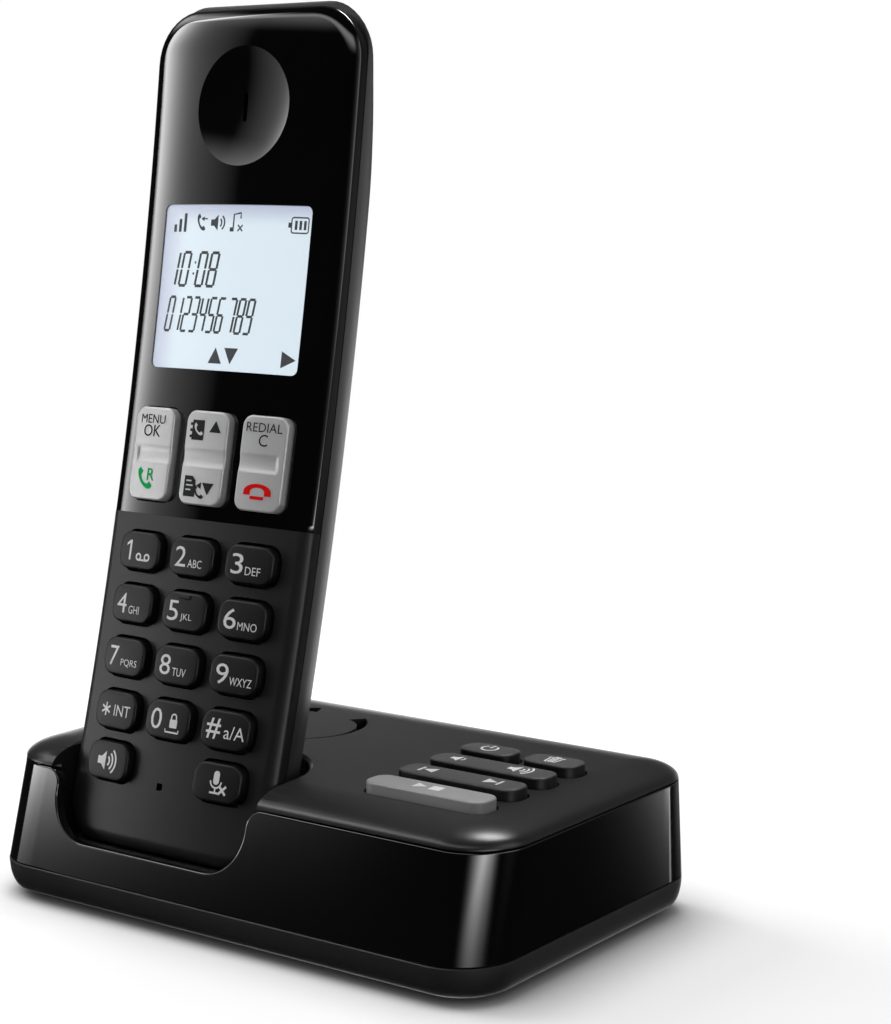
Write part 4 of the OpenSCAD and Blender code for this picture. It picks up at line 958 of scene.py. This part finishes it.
# Number keys
# Fourteen keys of soft black plastic on the keypad mat, which stand through the front cover with pillowed tops.
front_key = plastic("front_key", (0.004, 0.004, 0.0043), 0.42, 0.3, 0.003, shine=0.25)
KEY_RISE = 0.12
for name, (u0, v0) in keys.items():
    x, y, level = button(KEY_W, KEY_H, KEY_R, 0.4, KEY_PROUD, -1.5, KEY_RISE)
    cap = loft(on_front(u0 + x, -level, v0 + y), caps=(True, False))
    if name == "key_5":
        x, y, level = button(2.8, 0.8, 0.38, 0.2, KEY_PROUD + 0.3, KEY_PROUD - 0.2, 0)
        cap = together(cap, loft(on_front(u0 + x, -level, v0 + 2.6 + y), caps=(True, False)))
    finish_piece(make(name + "_cap", cap, front_key), name, name, angle=50)

# Signs on the number keys
# The usual white figures and letters, and signs for messages, lock, loudspeaker and muted microphone.
figures = {"2": ("ABC", 2.75, 3.4), "3": ("DEF", 2.75, 3.4), "4": ("GHI", 2.6, 2.8), "5": ("JKL", 2.7, 2.8),
           "6": ("MNO", 2.9, 4.3), "7": ("PQRS", 2.4, 4.3), "8": ("TUV", 2.7, 3.3), "9": ("WXYZ", 2.9, 4.9)}
SIGN_SIZE = 0.95
key_signs = {"key_" + figure: together(letters(figure, -3.6, -1.8, SIGN_SIZE * wide, 3.6),
                                       letters(words, -0.45, -1.8, SIGN_SIZE * long, 1.45))
             for figure, (words, wide, long) in figures.items()}
loops = [stroke(arc(u, -1.1, 0.55, 0, 360, 21)[:-1], 0.36, closed=True) for u in (0.2, 2.3)]
one = patch([(-2.35, -1.8), (-1.85, -1.8), (-1.85, 1.8), (-2.3, 1.8), (-3.15, 1.2), (-3.15, 0.7), (-2.35, 1.2)])
key_signs["key_1"] = together(one, *loops, block(0.2, -1.83, 2.3, -1.47))
star = [stroke([(-2.3 - 1.2 * np.cos(a), -1.2 * np.sin(a)), (-2.3 + 1.2 * np.cos(a), 1.2 * np.sin(a))], 0.36)
        for a in np.radians((30, 90, 150))]
key_signs["key_star"] = together(*star, letters("INT", -0.2, -1.0, 4.0, 2.0))
shackle = np.concatenate([[(-0.05, 0.2)], arc(0.5, 0.7, 0.55, 180, 0, 9), [(1.05, 0.2)]])
padlock = [patch(rounded(-0.35, 1.35, -1.2, 0.3, 0.2, 3, 1)), stroke(shackle, 0.28)]
bracket = stroke([(-1.2, -1.5), (-1.2, -2.0), (1.8, -2.0), (1.8, -1.5)], 0.3)
key_signs["key_0"] = together(letters("0", -3.7, -1.8, 2.6, 3.7), moved(together(*padlock, bracket), 1.2))
key_signs["key_hash"] = together(letters("#", -3.8, -1.7, 3.1, 3.6, 0.01), letters("a/A", 0.1, -1.4, 4.3, 2.3))
key_signs["key_speaker"] = loudspeaker(-0.3, 0, 1.35, 3)
capsule = patch(rounded(-0.62, 0.62, -0.3, 2.1, 0.6, 6, 1))
stand = [stroke(arc(0, 0.3, 1.15, 180, 360, 17), 0.3), block(-0.15, -1.6, 0.15, -0.8), block(-1.1, -1.9, 0.9, -1.55)]
key_signs["key_mute"] = moved(together(capsule, *stand, cross(1.5, -1.1, 0.75, 0.45)), 0.1)
for name, shape in key_signs.items():
    u0, v0 = keys[name]
    sign(name + "_sign", name, pale_ink, shape, lambda x, y: on_front(
        u0 + x, -KEY_PROUD - PRINT - dome(x, y, KEY_W, KEY_H, KEY_RISE), v0 + y))

# Back of the handset
# The back shell, moulded in satin black plastic: deep rounded sides, room for the battery door, slots for the ringer
# and three screw holes.
back_satin = plastic("back_satin", (0.024, 0.024, 0.025), 0.36, 0.3, 0.003)
BACK_R, END_R, DEPTH, BACK_FROM = 15.6, 6.0, 18.0, SEAM_D + 0.3
THIN_V, THIN, THIN_DEPTH = 118, 0.0041, 12.5
DOOR_W, DOOR_L, DOOR_V = 26.8, 55.5, 58.25


def back_ring(across, along, depth):
    """A ring of the back at a depth, which thins towards the top by a square."""
    u, v = handset_outline(across, along, LENGTH)
    share = (depth - BACK_FROM) / (THIN_DEPTH - SEAM_D)
    return bowed(u, depth - THIN * share * np.maximum(v - THIN_V, 0) ** 2, v)


a = np.linspace(np.arcsin((BACK_FROM - DEPTH + BACK_R) / BACK_R), np.pi / 2, 17)
back_rings = [(s, s, BACK_FROM) for s in np.linspace(0.5, HALF_W, 5)[::-1]]
back_rings += [(BACK_R * (1 - np.cos(t)), END_R * (1 - np.cos(t)), DEPTH - BACK_R + BACK_R * np.sin(t)) for t in a]
back_rings += [(BACK_R + s, END_R + s, DEPTH) for s in np.linspace(0, HALF_W - BACK_R, 9)[1:]]
back = make("back_shell", loft([back_ring(*r) for r in back_rings], caps=(False, False)), back_satin)
cut(back, front_prism(opening(0, DOOR_V, DOOR_W, DOOR_L, 4.0), 15.2, 22))
holes = [opening(0, 112 + 2.6 * k, 12 - 2 * abs(k), 1.2, 0.55) for k in range(-2, 3)]
holes += [opening(u, v, 4.6, 4.6, 2.29) for u, v in ((0, 17.18), (-14, 122.5), (14, 122.5))]
cut(back, together(*[front_prism(o, 13.5, 22) for o in holes]))
finish_piece(back, "handset", "handset_back_cover", edge=0.12, angle=35)
dress(steel, "handset_screws")
dress(contact_metal, "charge_plates")

# Battery door
# The lid over the cells, in the same satin plastic, clipped flush into the back.


def back_depth(u):
    """Depth of the back across the handset: flat in the middle, then the quarter circle of the sides."""
    return DEPTH - BACK_R + np.sqrt(BACK_R ** 2 - np.maximum(np.abs(u) - HALF_W + BACK_R, 0) ** 2)


DOOR_GAP, DOOR_R = 0.25, 3.75
door_steps = [(0.0, 2.6), (0.0, 0.15), (0.15, 0.0)] + [(s, 0.0) for s in np.linspace(1, DOOR_W / 2 - DOOR_GAP, 9)]
door_rings = []
for shrink, sink in door_steps:
    draw_in = 2 * (DOOR_GAP + shrink)
    flat = opening(0, DOOR_V, DOOR_W - draw_in, DOOR_L - draw_in, max(DOOR_R - shrink, 0))
    door_rings.append(bowed(flat[:, 0], back_depth(flat[:, 0]) - sink, flat[:, 1]))
door = make("door_shell", loft(door_rings, caps=(True, False)), back_satin)
finish_piece(door, "battery_door", "battery_door", angle=35)

# What is shut inside the handset
# Cells, contacts, board, mat and sound capsules, seen only through openings.
cell_wrap = plastic("cell_wrap", (0.03, 0.14, 0.3), 0.35, 0.6, 0.002)
dress(cell_wrap, "battery_cells")
dress(contact_metal, "battery_contacts")
dress(board_green, "handset_circuit_board")
dress(mat_rubber, "keypad_mat")
dress(speaker_grey, "earpiece", "microphone", "handset_loudspeaker")
